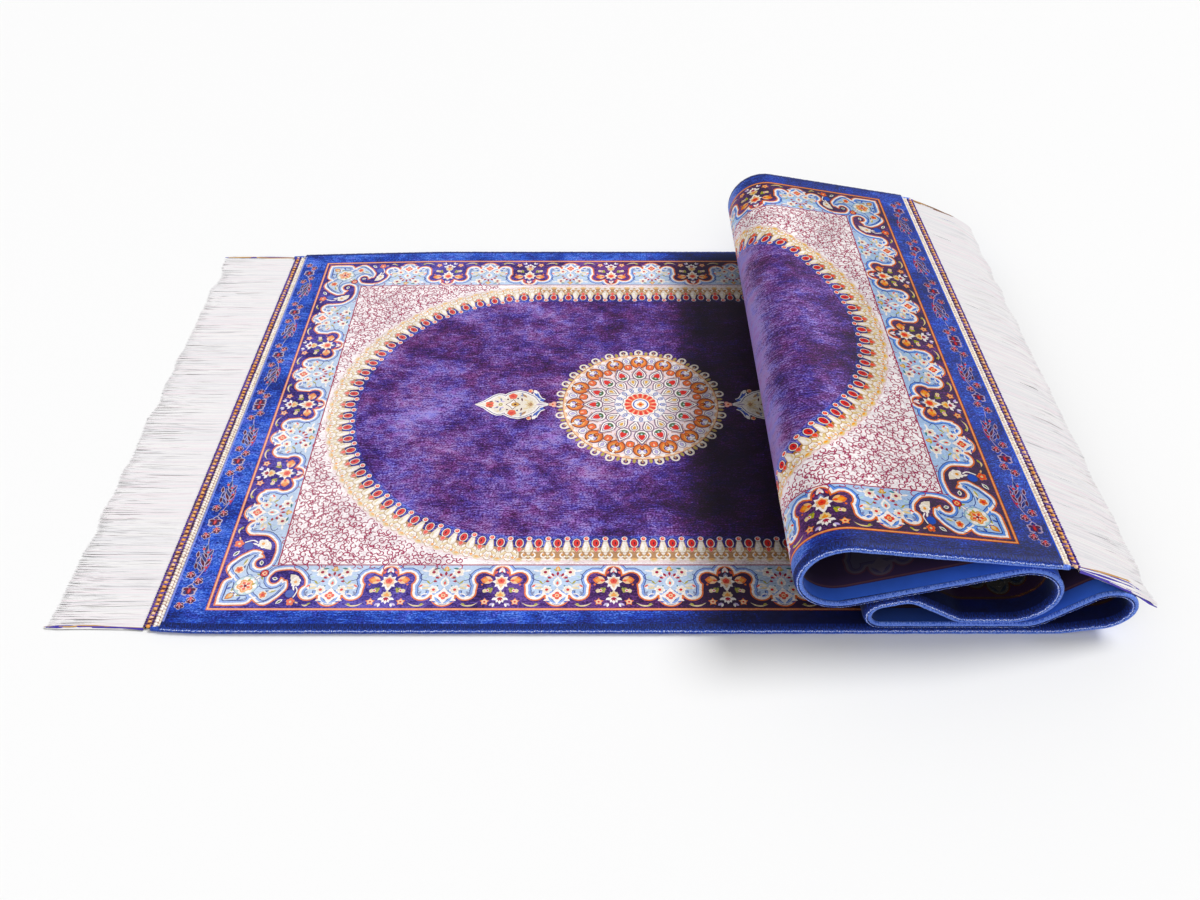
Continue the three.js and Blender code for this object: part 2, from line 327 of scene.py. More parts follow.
def corner_flowers():
    """One half of the corner's flowers, on the side of x."""
    return [
        petal("cream", 68, 38.4, 17, 9, -42, 0.5),
        *blossom(75.5, 29.5, 5.8, 5, "white", "cream", "amber", 30), petal("white", 74, 25, 6, 2.2, -70),
        stroke("white", 1.3, 3, (77, 24), (79.6, 19.6), (78.5, 15), (77, 11.6)),
        disc("royal", 72.6, 16, 4.6), *blossom(75.5, 6.6, 4.8, 5, "orange", "coral", "butter", 15),
        petal("peach", 80, 6.4, 4.4, 2, -20), petal("white", 60, 4.4, 8.6, 4, 36),
        petal("moss", 61, 5, 6, 1.9, 36),
        stroke("butter", 1.9, 3, (88, 3.4), (92, 2.2), (97, 4.6), tapered=True),
        petal("olive", 93, 3, 5, 2.2, 30), petal("white", 49, 34, 6.4, 4, -10),
        petal("moss", 50, 34, 4.4, 2, -10), disc("cream", 44, 14.6, 4.8, 12),
        rosette("orange", 44, 14.6, 3.9, 5, 0.3, 30), disc("red", 44, 14.6, 1.7, 7),
        petal("white", 38.6, 12, 5, 2.6, 200), petal("cream", 48, 18, 9, 3, 14),
        petal("olive", 50, 17, 8, 1.8, 20),
        stroke("navy", 0.8, 3, (36, 27), (41, 22.6), (48, 21.6), (55, 22.6), (61, 26)),
        stroke("navy", 0.8, 3, (38, 5), (45, 6.2), (52, 9.6), (58, 14.4), (62, 20)),
        stroke("navy", 0.7, 3, (31, 35), (33.5, 30.6), (36, 26.6)), petal("royal", 36.4, 22.4, 7, 3.2, 80),
        petal("aqua", 36.6, 23.4, 5, 1.6, 80),
        stroke("navy", 0.7, 3, (9, 7.6), (17, 8.4), (25, 8.8), (31, 12.6)),
        petal("white", 26, 32, 8, 3.4, 28), petal("teal", 28, 31.6, 6, 1.6, 20),
        petal("sky", 28.6, 12.6, 6, 2.6, -10), petal("royal", 21, 8, 5.6, 2.4, 60),
        petal("white", 19, 12, 5, 2.6, 100),
    ]


def corner_heart():
    """The corner's flowers that lie on its diagonal."""
    made = [
        petal("rust", 9.6, 9.6, 10, 7, 45, 0.55), petal("amber", 10.4, 10.4, 8.4, 5.4, 45, 0.55),
        petal("butter", 12.4, 12.4, 5.4, 3, 45), petal("olive", 13.6, 18.6, 4.4, 1.8, 80),
        petal("olive", 18.6, 13.6, 4.4, 1.8, 10), disc("slate", 25.4, 25.4, 11.4, 22),
        disc("aqua", 25.4, 25.4, 10.8, 22), rosette("white", 25.4, 25.4, 10.2, 7, 0.25, 45, 4),
        *fan("olive", 25.4, 25.4, 9.4, 3, 45, 300, 6), rosette("amber", 25, 25, 8, 5, 0.42, 45, 5),
        rosette("peach", 25, 25, 6.6, 5, 0.44, 45, 5), rosette("orange", 25, 25, 5, 5, 0.4, 45),
    ]
    for k in range(5):
        made.append(petal("coral", 25, 25, 6.4, 1.7, 45 + 72 * k))
        made.append(petal("cream", 25, 25, 4.4, 1.3, 81 + 72 * k))
    made += [
        disc("maroon", 25, 25, 1.5, 7), petal("slate", 31.6, 31.6, 8, 4, 45),
        petal("white", 32.4, 32.4, 6.4, 2.4, 45), petal("olive", 36.4, 37.6, 4.6, 2.2, 160),
        petal("olive", 37.6, 36.4, 4.6, 2.2, -70), disc("maroon", 39.6, 39.6, 4.6),
        rosette("red", 39.6, 39.6, 4.2, 4, 0.3, 45), rosette("peach", 39.6, 39.6, 2.6, 4, 0.3, 0),
        disc("red", 39.6, 39.6, 1.2, 6),
    ]
    return made


# Places of the lobes along a side and an end.
SIDE_LOBES = [193.5 + LOBE_PITCH * k for k in range(4)]
HIDDEN_PITCH = (HALF_LENGTH - SIDE_LOBES[-1]) / 4  # of the lobes inside the folds
SIDE_LOBES += [SIDE_LOBES[-1] + HIDDEN_PITCH * k for k in range(1, 5)]
SIDE_LIGHTS = [SIDE_LOBES[0] - LOBE_PITCH / 2] + [(x + y) / 2 for x, y in zip(SIDE_LOBES, SIDE_LOBES[1:])]
END_LOBES = [0, 105]
END_LIGHTS = [52.5, 158.5]


def along_border(patches, side_places, end_places):
    """Copies of border patches at these places along the side and the end."""
    made = []
    for a in side_places:
        made += moved(patches, a, BORDER_T, (1, -1))
    for t in end_places:
        made += moved(patches, BORDER_A, t, swap=True)
    return made


def in_corner(patches, mirrored=True):
    """Corner patches, drawn from x along the side, and copies mirrored over the diagonal."""
    made = []
    for p in patches + (moved(patches, swap=True) if mirrored else []):
        x, y = p.outline.T
        x = np.where(x > CORNER_FREE, CORNER_FREE + (x - CORNER_FREE) * CORNER_SQUEEZE, x)
        made.append(p._replace(outline=np.stack([BORDER_A + x, BORDER_T - y], 1)))
    return made


def border_band(number, colour, grow):
    """One of the nested bands round the dark lobes. It stops where the light lobes lie."""
    inner = EDGE_STRIP + grow
    dark = [capsule(colour, x0, y0, r0 + grow, x1, y1, r1 + grow) for x0, y0, r0, x1, y1, r1 in DARK_LOBE]
    light = [disc(None, x, y, radius - grow) for x, y, radius in LIGHT_LOBES]
    corner = [
        capsule(colour, x0, y0, r0 + grow, x1, y1, r1 + grow)
        for (x0, y0, r0), (x1, y1, r1) in zip(SCROLL, SCROLL[1:])
    ]
    for x0, y0, r0, x1, y1, r1 in CORNER_LOBES:
        corner.append(capsule(None, x0, y0, max(0.3, r0 - grow), x1, y1, max(0.3, r1 - grow)))
    corner.append(block(None, 2 + grow, 2 + grow, 14, 14))
    made = [
        block(colour, BORDER_A, -REACH_T, BORDER_A + inner, BORDER_T),
        block(colour, BORDER_A, BORDER_T - inner, REACH_A, BORDER_T),
        *along_border(dark, SIDE_LOBES, END_LOBES), *along_border(light, SIDE_LIGHTS, END_LIGHTS),
        *in_corner(corner),
    ]
    name = f"light {number}"
    return [p._replace(cut=name) if p.colour else p._replace(mark=name) for p in made]


def border():
    made = [block("pale", 0, -REACH_T, REACH_A, PILE_HALF)]
    for number, (grow, colour) in enumerate(BANDS):
        made += border_band(number, colour, grow)
    made += along_border(dark_flowers(), SIDE_LOBES, END_LOBES)
    made += along_border(light_flowers(), SIDE_LIGHTS, END_LIGHTS)
    made += in_corner(corner_flowers()) + in_corner(corner_heart(), False)
    for outset, colour in FRAME_LINES:
        a, t = BORDER_A - outset, BORDER_T + outset
        bend = [[a, -REACH_T], [a, t], [REACH_A, t], [REACH_A, REACH_T], [-9, REACH_T], [-9, -REACH_T]]
        made.append(Patch(np.array(bend, float), colour))
    made.append(block("crimson", PANEL_A - INNER_LINE, -REACH_T, REACH_A, PANEL_T + INNER_LINE))
    made.append(block("thread", PANEL_A, -REACH_T, REACH_A, PANEL_T))
    return made


def tendrils():
    """Fine curls on the pale ground outside the ring, in shifted rows, each a little out of place."""
    rng = random.Random(11)
    step_a, step_t, loose, margin = 10.4, 9, 1.3, 2.5
    curl = [
        ribbon("claret", spiral(0, 0, 4, 1.3, 0, 330, 9), 1.1),
        ribbon("claret", [[4, 0], [6.4, 2.2], [9.4, 1.6], [11, -0.8]], 1.0),
        ribbon("claret", [[-3, 2.8], [-6.4, 3.6], [-7.8, 6.2], [-6, 8.4]], 1.0),
        ribbon("claret", [[-1.2, -4], [-3.4, -6.2], [-1.2, -8.4], [1.8, -7.2]], 1.0),
    ]
    made = []
    for row in range(25):
        for column in range(26):
            a = PANEL_A + 4 + step_a * (column + 0.5 * (row % 2)) + rng.uniform(-loose, loose)
            t = PANEL_T - 4 - step_t * row + rng.uniform(-loose, loose)
            turn, flip = rng.uniform(0, 360), rng.random() < 0.5
            away = math.hypot(min(0, a - RING_A), t) - RING_RADIUS
            if away > 2 and a > PANEL_A + margin and t < PANEL_T - margin:
                made += placed(moved(curl, scale=(-1, 1)) if flip else curl, a, t, turn)
    return made


# The vine in the blue edge of an end: x along it, y inwards from the end of the pile.
VINE_PITCH = 84


def flower_pair(x, y0, y1):
    """Two small dark flowers, one on each side of the vine."""
    made = []
    for dx, y, turn in ((-3.4, y0, 20), (3.4, y1, 70)):
        made += [
            rosette("mist", x + dx, y, 4.7, 5, 0.3, turn),
            rosette("maroon", x + dx, y, 4, 5, 0.34, turn, 3),
            *fan("mist", x + dx - 3, y - 1, 6.4, 1.5, 18, 80, 3),
            *fan("coral", x + dx - 2.4, y - 0.8, 4.8, 0.9, 18, 80, 3),
            disc("red", x + dx - 2.6, y - 0.8, 1.2, 6),
        ]
    return made


def vine():
    """One repeat, from a pair of flowers near x = 0 back to the next one's leaves."""
    stem = smooth([[-4, 8], [-14, 13], [-24, 9], [-34, 12], [-46, 16], [-60, 17], [-74, 12], [-84, 10]], 2)
    made = [ribbon("mist", stem, 0.8)]
    made += flower_pair(-7, 14, 6) + flower_pair(-36, 6, 14.6)
    for turn, length, rim, fill in (
        (180, 9.4, "mist", "navy"), (122, 8, "mist", "maroon"), (-122, 8, "mist", "maroon"),
        (64, 7, "mist", "navy"), (-64, 7, "mist", "navy"),
    ):
        made.append(petal(rim, -20, 9.6, length, 7, turn, 0.55))
        made.append(petal(fill, -20.4, 9.6, length - 1.6, 5.2, turn, 0.55))
    made += [
        disc("maroon", -19.6, 9.6, 2.8, 8), petal("red", -18, 9.6, 6, 2.4, 180),
        petal("claret", -22, 8.4, 4, 1.4, 150), petal("claret", -22, 10.8, 4, 1.4, 210),
        stroke("claret", 1.1, 3, (-44, 17), (-53, 18.8), (-63, 18.2), (-71, 15)),
    ]
    leaves = [(-42, 12, 12, 164), (-44, 14, 14, 214), (-49, 15, 14, 206), (-54, 16, 15, 213)]
    leaves += [(-59, 15, 14, 205), (-64, 14, 13, 211), (-46, 8, 10, 190), (-53, 7, 10, 176)]
    leaves += [(-60, 6, 9, 188), (-66, 11, 12, 178), (-50, 15, 12, 160), (-61, 15, 11, 164)]
    for number, (x, y, length, turn) in enumerate(leaves):
        made.append(petal("mist" if number % 3 else "slate", x, y, length, 4, turn, 0.45))
        inner = foot_of(x, y, 0.9, turn)
        made.append(petal("navy" if number % 2 else "maroon", *inner, length - 2, 2.6, turn, 0.45))
    for x, y in ((-49, 16.6), (-58, 16.8), (-67, 14), (-71, 9)):
        made.append(disc("red", x, y, 1.4, 6))
    return made


def guard():
    """The pale line along the end of the pile, a painted highlight where the pile rounds off, and the vine.
    """
    made = [block("rim", 0, -PILE_HALF, 2.4, REACH_T)]
    for k in range(4):
        made += moved(vine(), 4, 277 - VINE_PITCH * k, swap=True)
    return made


# The oval ring: each unit is a red drop between two pears that carry a pearl. u runs along the ring and r
# inwards from its outer edge.
def drop():
    """The red drop on a pale ground."""
    return [
        oval("navy", 0, 23.6, 6.4, 4.8, 90, 16), oval("cream", 0, 23.4, 5.7, 4.1, 90, 16),
        oval("crimson", 0, 23.6, 4.8, 3.3, 90, 12), oval("red", 0, 23.8, 4.3, 2.8, 90, 12),
        petal("maroon", 0.5, 21, 4.6, 1.6, 90), petal("maroon", 0, 18.8, 7, 6, -90, 0.35),
        petal("pink", 0, 18.8, 6.6, 5.4, -90, 0.35), petal("coral", 0, 18.6, 5.4, 4, -90, 0.35),
    ]


def pear():
    """The pale pear that carries a pearl."""
    return [
        capsule("tan", 0, 15.6, 4.6, 0, 25.4, 2.2), capsule("cream", 0, 15.6, 4, 0, 25.4, 1.7),
        petal("white", -0.6, 13, 11, 3.4, 94, 0.42), petal("sand", 1.4, 14, 6, 1.8, 80, 0.42),
        disc("navy", 0, 28.8, 3.4, 12), disc("white", 0, 28.8, 2.9, 12), disc("coral", 0, 29, 2.1, 9),
        disc("pink", 0.5, 29.6, 0.9, 6),
    ]


def crown():
    """The white crown under a pear, on the straight sides."""
    half = [
        ribbon("white", spiral(3.7, 8.6, 2.3, 2.9, -160, 80, 8), 1.5),
        stroke("white", 1.3, 2, (1, 3.4), (3.8, 4.4), (7, 3.2)), petal("amber", 3.4, 8.4, 3, 1.7, 60),
    ]
    ground = [block("tan", -9.2, 3.6, 9.2, 13)]
    return ground + both_sides(half) + [disc("white", 0, 11, 1.8, 8), disc("butter", 0, 7, 1.4, 7)]


def shell():
    """The cream blossom under a pear, on the round ends."""
    made = [
        rosette("tan", 0, 9.6, 8.8, 6, 0.2, 90, 4), rosette("white", 0, 9.6, 8.1, 6, 0.2, 90, 4),
        rosette("tan", 0, 9.6, 5.8, 5, 0.3, 30, 3), rosette("rose", 0, 9.6, 5.2, 5, 0.3, 30, 3),
    ]
    for k in range(5):
        made.append(petal("tan" if k % 2 else "sand", 0, 14.4, 11, 3, -90 + 26 * (k - 2), 0.6))
        made.append(petal("white" if k % 2 else "butter", 0, 14, 10, 2, -90 + 26 * (k - 2), 0.6))
    made += [disc("butter", 0, 14, 1.9, 7), disc("amber", -4.4, 5.6, 1.5, 6)]
    return made + [disc("peach", 4.4, 5.6, 1.5, 6), disc("white", 0, 9.4, 1.7, 6)]


def stadium(inset):
    """Outline of the ring at a depth, past the middle of the rug and over its centre line."""
    radius = RING_RADIUS - inset
    angle = np.radians(np.linspace(-90, -270, int(radius * 1.2)))
    return np.concatenate([[[REACH_A, -radius]], polar(radius, angle) + (RING_A, 0), [[REACH_A, radius]]])


def ring():
    bands = [(0, "rose"), (2.4, "cream"), (12.6, "sand"), (15, "tan"), (18, "navy"), (19.6, "halo")]
    made = [Patch(stadium(depth), colour) for depth, colour in [*bands, (32.6, "field")]]
    on_curve = round(math.pi / 2 * (RING_RADIUS - DROP_DEPTH) / RING_PITCH)
    straight = HALF_LENGTH - RING_A
    along = round(straight / RING_PITCH)

    def at_angle(patches, share):
        angle = 90 + 90 * (1 - share)
        return placed(patches, *foot_of(RING_A, 0, RING_RADIUS, angle), angle + 90)

    def at_side(patches, share):
        return moved(patches, RING_A + straight * share, RING_RADIUS, (1, -1))

    scallop = [petal("butter", -4.2, 3, 8.4, 4.8, 0, 0.5), petal("marigold", -2.6, 4, 5.2, 2.6, 0, 0.5)]
    for k in range(-1, on_curve + 1):
        made += at_angle(shell(), (k + 0.5) / on_curve)
    for k in range(along + 1):
        made += at_side(crown(), (k + 0.5) / along)
    for k in range(-1, on_curve + 1):
        made += at_angle(pear(), (k + 0.5) / on_curve)
        made += at_angle(scallop, k / on_curve)
    for k in range(along + 1):
        made += at_side(pear(), (k + 0.5) / along)
        made += at_side(scallop, k / along)
    for k in range(on_curve + 1):
        made += at_angle(drop(), k / on_curve)
    for k in range(1, along + 2):
        made += at_side(drop(), k / along)
    return made


def around(patches, count, offset=0.0):
    """Copies of patches, drawn along x from the medallion's middle, turned about it. offset is a share of the
    step. Those far over the centre line are left out."""
    made = []
    for k in range(count):
        turn = 360 * (k + offset) / count
        if -20 < turn < 200:
            made += placed(patches, MEDALLION_A, 0, turn)
    return made


def medallion():
    a, sectors = MEDALLION_A, 16
    loops = [
        capsule("cream", 86, 0, 4.8, 89.6, 0, 5), disc("wine", 90, 0, 2.7, 10),
        petal("tan", 84.6, 0, 6.6, 2.4, 0, 0.6),
    ]
    bars = [petal("tan", 83, 0, 8.6, 4.6, 0, 0.6), petal("olive", 84, 0, 6.8, 2.4, 0, 0.6)]
    made = around(bars, 2 * sectors, 0.5) + around(loops, 2 * sectors)
    made += [disc("rust", a, 0, 85.4, 110), disc("peach", a, 0, 84.8, 110)]
    made += [disc("tan", a, 0, 82.2, 110), disc("rose", a, 0, 81.6, 110)]
    made += around([petal("white", 79.6, 0, 4.4, 6, 0, 0.5)], 3 * sectors)
    urn = [
        disc("maroon", 71.6, 0, 10.2, 20), disc("rust", 71.6, 0, 9.4, 20), disc("orange", 71.8, 0, 8.4, 18),
        disc("amber", 72.8, 0, 6.8, 16), oval("brown", 73.4, 0, 5.2, 5.6, 0, 14),
        oval("white", 73.4, 0, 4.5, 4.9, 0, 14), petal("brown", 76, 0, 6.4, 4.2, 0, 0.5),
        petal("white", 76.6, 0, 5.6, 2.8, 0, 0.5), petal("brown", 64.6, 0, 8, 5.4, 0, 0.5),
        petal("orange", 65.4, 0, 6, 3, 0, 0.5), petal("navy", 70.4, -0.6, 7, 4, -42),
        petal("navy", 70.4, 0.6, 7, 4, 42), petal("lilac", 71, -0.8, 5.6, 2.6, -42),
        petal("lilac", 71, 0.8, 5.6, 2.6, 42), petal("white", 70.6, 0, 7, 2.8, 0),
        disc("brown", 70.6, 0, 1.7, 7),
    ]
    scroll = [
        stroke("brown", 2.1, 2, (54, 2), (57.6, 7), (63.6, 8.6), (69.4, 6.4), (70, 2.6)),
        stroke("peach", 1, 2, (54, 2), (57.6, 7), (63.6, 8.6), (69.4, 6.4), (70, 2.6)),
    ]
    between = [
        *both_sides_across(scroll), oval("navy", 75.4, 0, 5, 4.6, 0, 12),
        oval("white", 75.4, 0, 4.3, 3.9, 0, 12), petal("slate", 71.8, 0, 7, 4.4, 0),
        petal("lilac", 72.6, 0, 5.6, 2.8, 0), petal("teal", 58.4, 0, 6, 8.8, 0, 0.5),
        rosette("maroon", 64, 0, 5.6, 4, 0.3, 45, 3), rosette("orange", 64, 0, 4.8, 4, 0.3, 45, 3),
        rosette("coral", 64, 0, 2.8, 4, 0.3, 45, 3), petal("peach", 62.6, 0, 4.6, 2.2, 0),
    ]
    made += around(between, sectors, 0.5) + around(urn, sectors)
    outer = [
        capsule("mist", 49.4, 0, 9, 63.4, 0, 1.2), capsule("maroon", 49.4, 0, 8.3, 62.4, 0, 1),
        capsule("white", 49.4, 0, 7.4, 61, 0, 0.8), capsule("plum", 49.8, 0, 5.7, 58.4, 0, 0.8),
        capsule("rose", 49.9, 0, 4.9, 57.2, 0, 0.8), capsule("red", 51, 0, 3.7, 54.8, 0, 1.6),
        oval("moss", 46.6, 0, 2.6, 4, 0, 9), disc("aqua", 47.6, 0, 1.2, 6),
    ]
    inner = [
        capsule("mist", 38, 0, 7.1, 26.4, 0, 1), capsule("maroon", 38, 0, 6.5, 27.2, 0, 1),
        capsule("white", 38, 0, 5.6, 28.6, 0, 0.8), capsule("plum", 38.4, 0, 4, 31.6, 0, 0.5),
        capsule("cream", 38.5, 0, 3.2, 32.8, 0, 0.5), capsule("gold", 38.8, 0, 1.8, 35.6, 0, 0.5),
    ]
    made += around(outer, sectors) + around(inner, sectors, 0.5)
    made += [disc("slate", a, 0, 28.6, 60), disc("white", a, 0, 27.9, 60)]
    ovals = [
        oval("royal", 24.4, 0, 3.3, 2.4, 0, 10), oval("white", 24.6, 0, 2.2, 1.4, 0, 9),
        petal("navy", 23, 0, 3.6, 1.3, 0),
    ]
    made += around(ovals, sectors)
    made += [
        rosette("navy", a, 0, 20.8, 16, 0.1, 0, 4), rosette("white", a, 0, 20, 16, 0.1, 0, 4),
        rosette("coral", a, 0, 17.8, 16, 0.09, 0, 4),
    ]
    made += around([petal("peach", 9.4, 0, 9.2, 1.6, 0, 0.6)], sectors, 0.5)
    made += around([petal("red", 12, 0, 5.6, 1.6, 0, 0.5)], sectors)
    made += [
        disc("orange", a, 0, 11, 26), disc("white", a, 0, 9.8, 26), disc("royal", a, 0, 8.4, 24),
        disc("white", a, 0, 7, 20), rosette("amber", a, 0, 4, 4, 0.3), disc("red", a, 0, 1.6, 8),
    ]
    return made


# Capsules of one half of a pendant.
PENDANT_SHAPE = [
    (8, 0, 1.2, 20, 1, 4.6), (20, 1, 4.6, 30, 6, 11), (30, 6, 11, 41, 8, 15.4), (41, 8, 15.4, 47, 8, 12.6),
    (62, 7, 11, 56, 4, 8), (62, 7, 11, 76, 1, 6), (76, 1, 6, 88, 0, 0.5),
]


def pendant():
    """A pendant, with x outwards from the medallion's edge and y across."""
    made = []
    for side in (1, -1):
        horn = smooth([[13, side * 6], [17.6, side * 8.6], [20.6, side * 13.6], [23, side * 20]], 3)
        made += [ribbon("white", horn, 6.6), ribbon("royal", horn, 4)]
        made += [petal("white", 21, side * 17, 8, 4.6, side * 62, 0.6)]
        made += [petal("pale", 16, side * 8, 6, 2.6, side * 20), disc("peach", 28.6, side * 22.4, 2.8, 8)]
        made += [disc("coral", 29, side * 22, 1.7, 7)]
    for grow, colour in ((0.2, "white"), (-1.2, "navy"), (-2, "white"), (-4.4, "cream")):
        for x0, y0, r0, x1, y1, r1 in PENDANT_SHAPE:
            if max(r0, r1) + grow > 0.6:
                ends = x0, y0, max(0.4, r0 + grow), x1, y1, max(0.3, r1 + grow)
                made += both_sides_across([capsule(colour, *ends)])
    half = [
        rosette("orange", 47.6, 13.4, 5.2, 5, 0.35, 15, 3),
        rosette("coral", 47.6, 13.4, 4.4, 5, 0.35, 15, 3), petal("red", 45, 13, 6, 2.4, 15),
        petal("slate", 40, 14, 6, 3, 170), petal("slate", 36, 15, 5, 2.4, 60),
        petal("tan", 32, 11, 8, 3, 50), petal("butter", 29, 5, 8, 3, 25), petal("maroon", 37, 5, 6, 2, 80),
        petal("butter", 60, 8.6, 6, 2.4, 40), petal("lilac", 56, 4.6, 6, 2.4, 10),
        petal("mist", 68, 6.6, 7, 2.6, -150), petal("slate", 60, 5, 6, 2.2, 80),
        petal("maroon", 74, 4, 5, 2, 165), disc("plum", 42, 9.6, 1.2, 6), disc("navy", 64, 4.6, 1.1, 6),
        disc("maroon", 53, 8.4, 1.2, 6),
    ]
    made += both_sides_across(half)
    made += [
        rosette("orange", 72.6, 0, 5.2, 4, 0.3, 45, 4), rosette("coral", 72.6, 0, 4.4, 4, 0.3, 45, 4),
        petal("rust", 69.5, 0, 7, 3, 0), disc("olive", 60.6, 0, 2.4, 8), disc("butter", 60.6, 0, 1.2, 6),
        star("maroon", 47, 0, 8.4, 4, 0.6, 0), star("white", 47, 0, 7.2, 4, 0.6, 0),
        oval("tan", 44.6, 0, 4.6, 3.6, 0, 12), oval("gold", 44.6, 0, 3.8, 2.8, 0, 12),
        disc("maroon", 44.6, 0, 1.5, 7), *fan("butter", 24, 0, 11, 3.4, 0, 100, 5),
        *fan("tan", 25, 0, 7, 1.8, 0, 80, 4), petal("mist", 10, 0, 12, 3.4, 0, 0.7),
        rosette("maroon", 3, 0, 5.6, 3, 0.4, 0), rosette("pink", 3, 0, 5, 3, 0.4, 0),
        rosette("peach", 3.4, 0, 3, 3, 0.4, 0), disc("coral", 3.4, 0, 1.4, 7),
    ]
    return made


def pendants():
    foot = 93  # distance from the medallion's middle
    return [p for side in (-1, 1) for p in moved(pendant(), MEDALLION_A + side * foot, 0, (side, 1))]


def whole_pattern():
    """All patches of one quarter, from the lowest to the topmost."""
    return border() + guard() + tendrils() + ring() + medallion() + pendants()


# --------------------
# The folded cloth. Its middle line is a belt round these rollers, in millimetres, with x from the left end. A
# pair holds the values at the front and the back edge. turn 1 bends to the left of travel, -1 to the right.
# --------------------
MM = 0.001
THICKNESS = 7.5
MIDDLE = THICKNESS / 2
HALF_WIDTH = 301
KILIM = 16
KILIM_TOP = 3 - MIDDLE  # height of the flat-woven band's face over the middle line
SECOND = MIDDLE + THICKNESS + 1
THIRD = SECOND + THICKNESS + 1
CLOTH_LENGTH = PILE_LENGTH + 2 * KILIM
Roller = namedtuple("Roller", "turn radius x z")
CLOTH = [
    Roller(1, 0, 0, MIDDLE),
    Roller(1, 90, 800, MIDDLE + 90),
    Roller(1, 23, 841, 34),
    Roller(-1, 28, 774, SECOND + 28),
    Roller(-1, 15.5, 650.5, SECOND + 15.5),
    Roller(-1, 22.5, 666, (25.6, 24.2)),
    Roller(1, 24, 724, THIRD + 24),
    Roller(1, (33.4, 30.8), (759, 761), (THIRD + 33.4, THIRD + 30.8)),
    Roller(-1, (38, 37.6), (605.5, 604.5), (80, 79.6)),
    Roller(1, 0, (789.5, 792.5), (94.6, 85.5)),
]
FRINGE_LENGTH = 97
LEFT_FRINGE = [Roller(1, 0, 0.3, 1.2), Roller(1, 0, -FRINGE_LENGTH, 1.2)]
RIGHT_FRINGE = [
    Roller(1, 0, (790.2, 793.2), (92.3, 83.2)),
    Roller(-1, 28.4, 841, 34),
    Roller(1, 0, 878, 44),
]
# How far the front and the back edge draw in at the left end, over what distance, and how sharply.
INSETS = [(3, 60, 2), (8, 200, 1.2)]
FLAP = 450  # length of the topmost layer with its bend
BELT_LINES = 5  # lines from front to back at which a belt is worked out
ARC_POINTS = 61
LEFT_OVERHANG = 3  # the kilim bands reach this far beyond the belt's ends
RIGHT_OVERHANG = 5
LEFT_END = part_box("rug_cloth")[0][0]  # where x is 0 in the numbers above


class Belt:
    """Places along a belt. run is the distance from its start, and v is 0 at the front, 1 at the back."""

    def __init__(self, rollers):
        lines = [self.line(rollers, v) for v in np.linspace(0, 1, BELT_LINES)]
        self.length = lines[BELT_LINES // 2][0][-1]
        self.run = lines[BELT_LINES // 2][0]
        self.lines = lines

    @staticmethod
    def line(rollers, v):
        """Runs of the bends' points, and their x, z and headings."""
        def pick(value):
            return value[0] + (value[1] - value[0]) * v if isinstance(value, tuple) else value

        rows = [Roller(*map(pick, roller)) for roller in rollers]
        headings = []
        for row, after in zip(rows, rows[1:]):
            across = after.turn * after.radius - row.turn * row.radius
            dx, dz = after.x - row.x, after.z - row.z
            headings.append(math.atan2(dz, dx) - math.asin(across / math.hypot(dx, dz)))
        runs, xs, zs, turns = [0.0], [], [], []
        run, heading = 0.0, headings[0]
        for i, straight in enumerate(headings):
            if i:
                bend = (straight - heading) * rows[i].turn % (2 * math.pi) * rows[i].turn
                arc = heading + bend * np.linspace(0, 1, ARC_POINTS)
                xs += list(rows[i].x + rows[i].turn * rows[i].radius * np.sin(arc))
                zs += list(rows[i].z - rows[i].turn * rows[i].radius * np.cos(arc))
                runs += list(run + abs(bend) * rows[i].radius * np.linspace(0, 1, ARC_POINTS)[1:])
                turns += list(arc)
                run, heading = runs[-1], arc[-1]
            else:
                xs.append(rows[0].x + rows[0].turn * rows[0].radius * math.sin(heading))
                zs.append(rows[0].z - rows[0].turn * rows[0].radius * math.cos(heading))
                turns.append(heading)
            after = rows[i + 1]
            end = (
                after.x + after.turn * after.radius * math.sin(heading),
                after.z - after.turn * after.radius * math.cos(heading),
            )
            run += math.hypot(end[0] - xs[-1], end[1] - zs[-1])
            runs.append(run)
        xs.append(end[0])
        zs.append(end[1])
        turns.append(heading)
        return np.array(runs), np.array(xs), np.array(zs), np.array(turns)

    def at(self, run, v):
        """x, z and heading, for arrays of run and v. Past its ends the belt goes straight on."""
        run, v = np.broadcast_arrays(np.asarray(run, float), np.asarray(v, float))
        place = np.clip(v, 0, 1) * (BELT_LINES - 1)
        x, z, heading = np.zeros((3, *run.shape))
        for number, line in enumerate(self.lines):
            share = np.maximum(0, 1 - np.abs(place - number))
            x += share * np.interp(run, self.run, line[1])
            z += share * np.interp(run, self.run, line[2])
            heading += share * np.interp(run, self.run, line[3])
        past = run - np.clip(run, 0, self.length)
        return x + past * np.cos(heading), z + past * np.sin(heading), heading

    def bends(self, arc_step, flat_step):
        """Runs at which a mesh needs an edge, to follow the belt."""
        _, _, _, heading = self.lines[BELT_LINES // 2]
        cuts = []
        for run, before, after in zip(self.run[1:], heading, heading[1:]):
            step = arc_step if abs(after - before) > 1e-9 else flat_step
            start = cuts[-1] if cuts else 0.0
            if not cuts or run - start >= step:
                count = max(1, round((run - start) / step))
                cuts += list(start + (run - start) * np.arange(1, count + 1) / count)
        return cuts


def half_width(run, side):
    """From the middle to an edge. Near the left end the edges draw in, most of all the back one."""
    run = np.asarray(run, float)
    front, back = (most * np.maximum(0, 1 - run / over) ** power for most, over, power in INSETS)
    return HALF_WIDTH - np.where(np.asarray(side) > 0, back, front)


BELT = Belt(CLOTH)


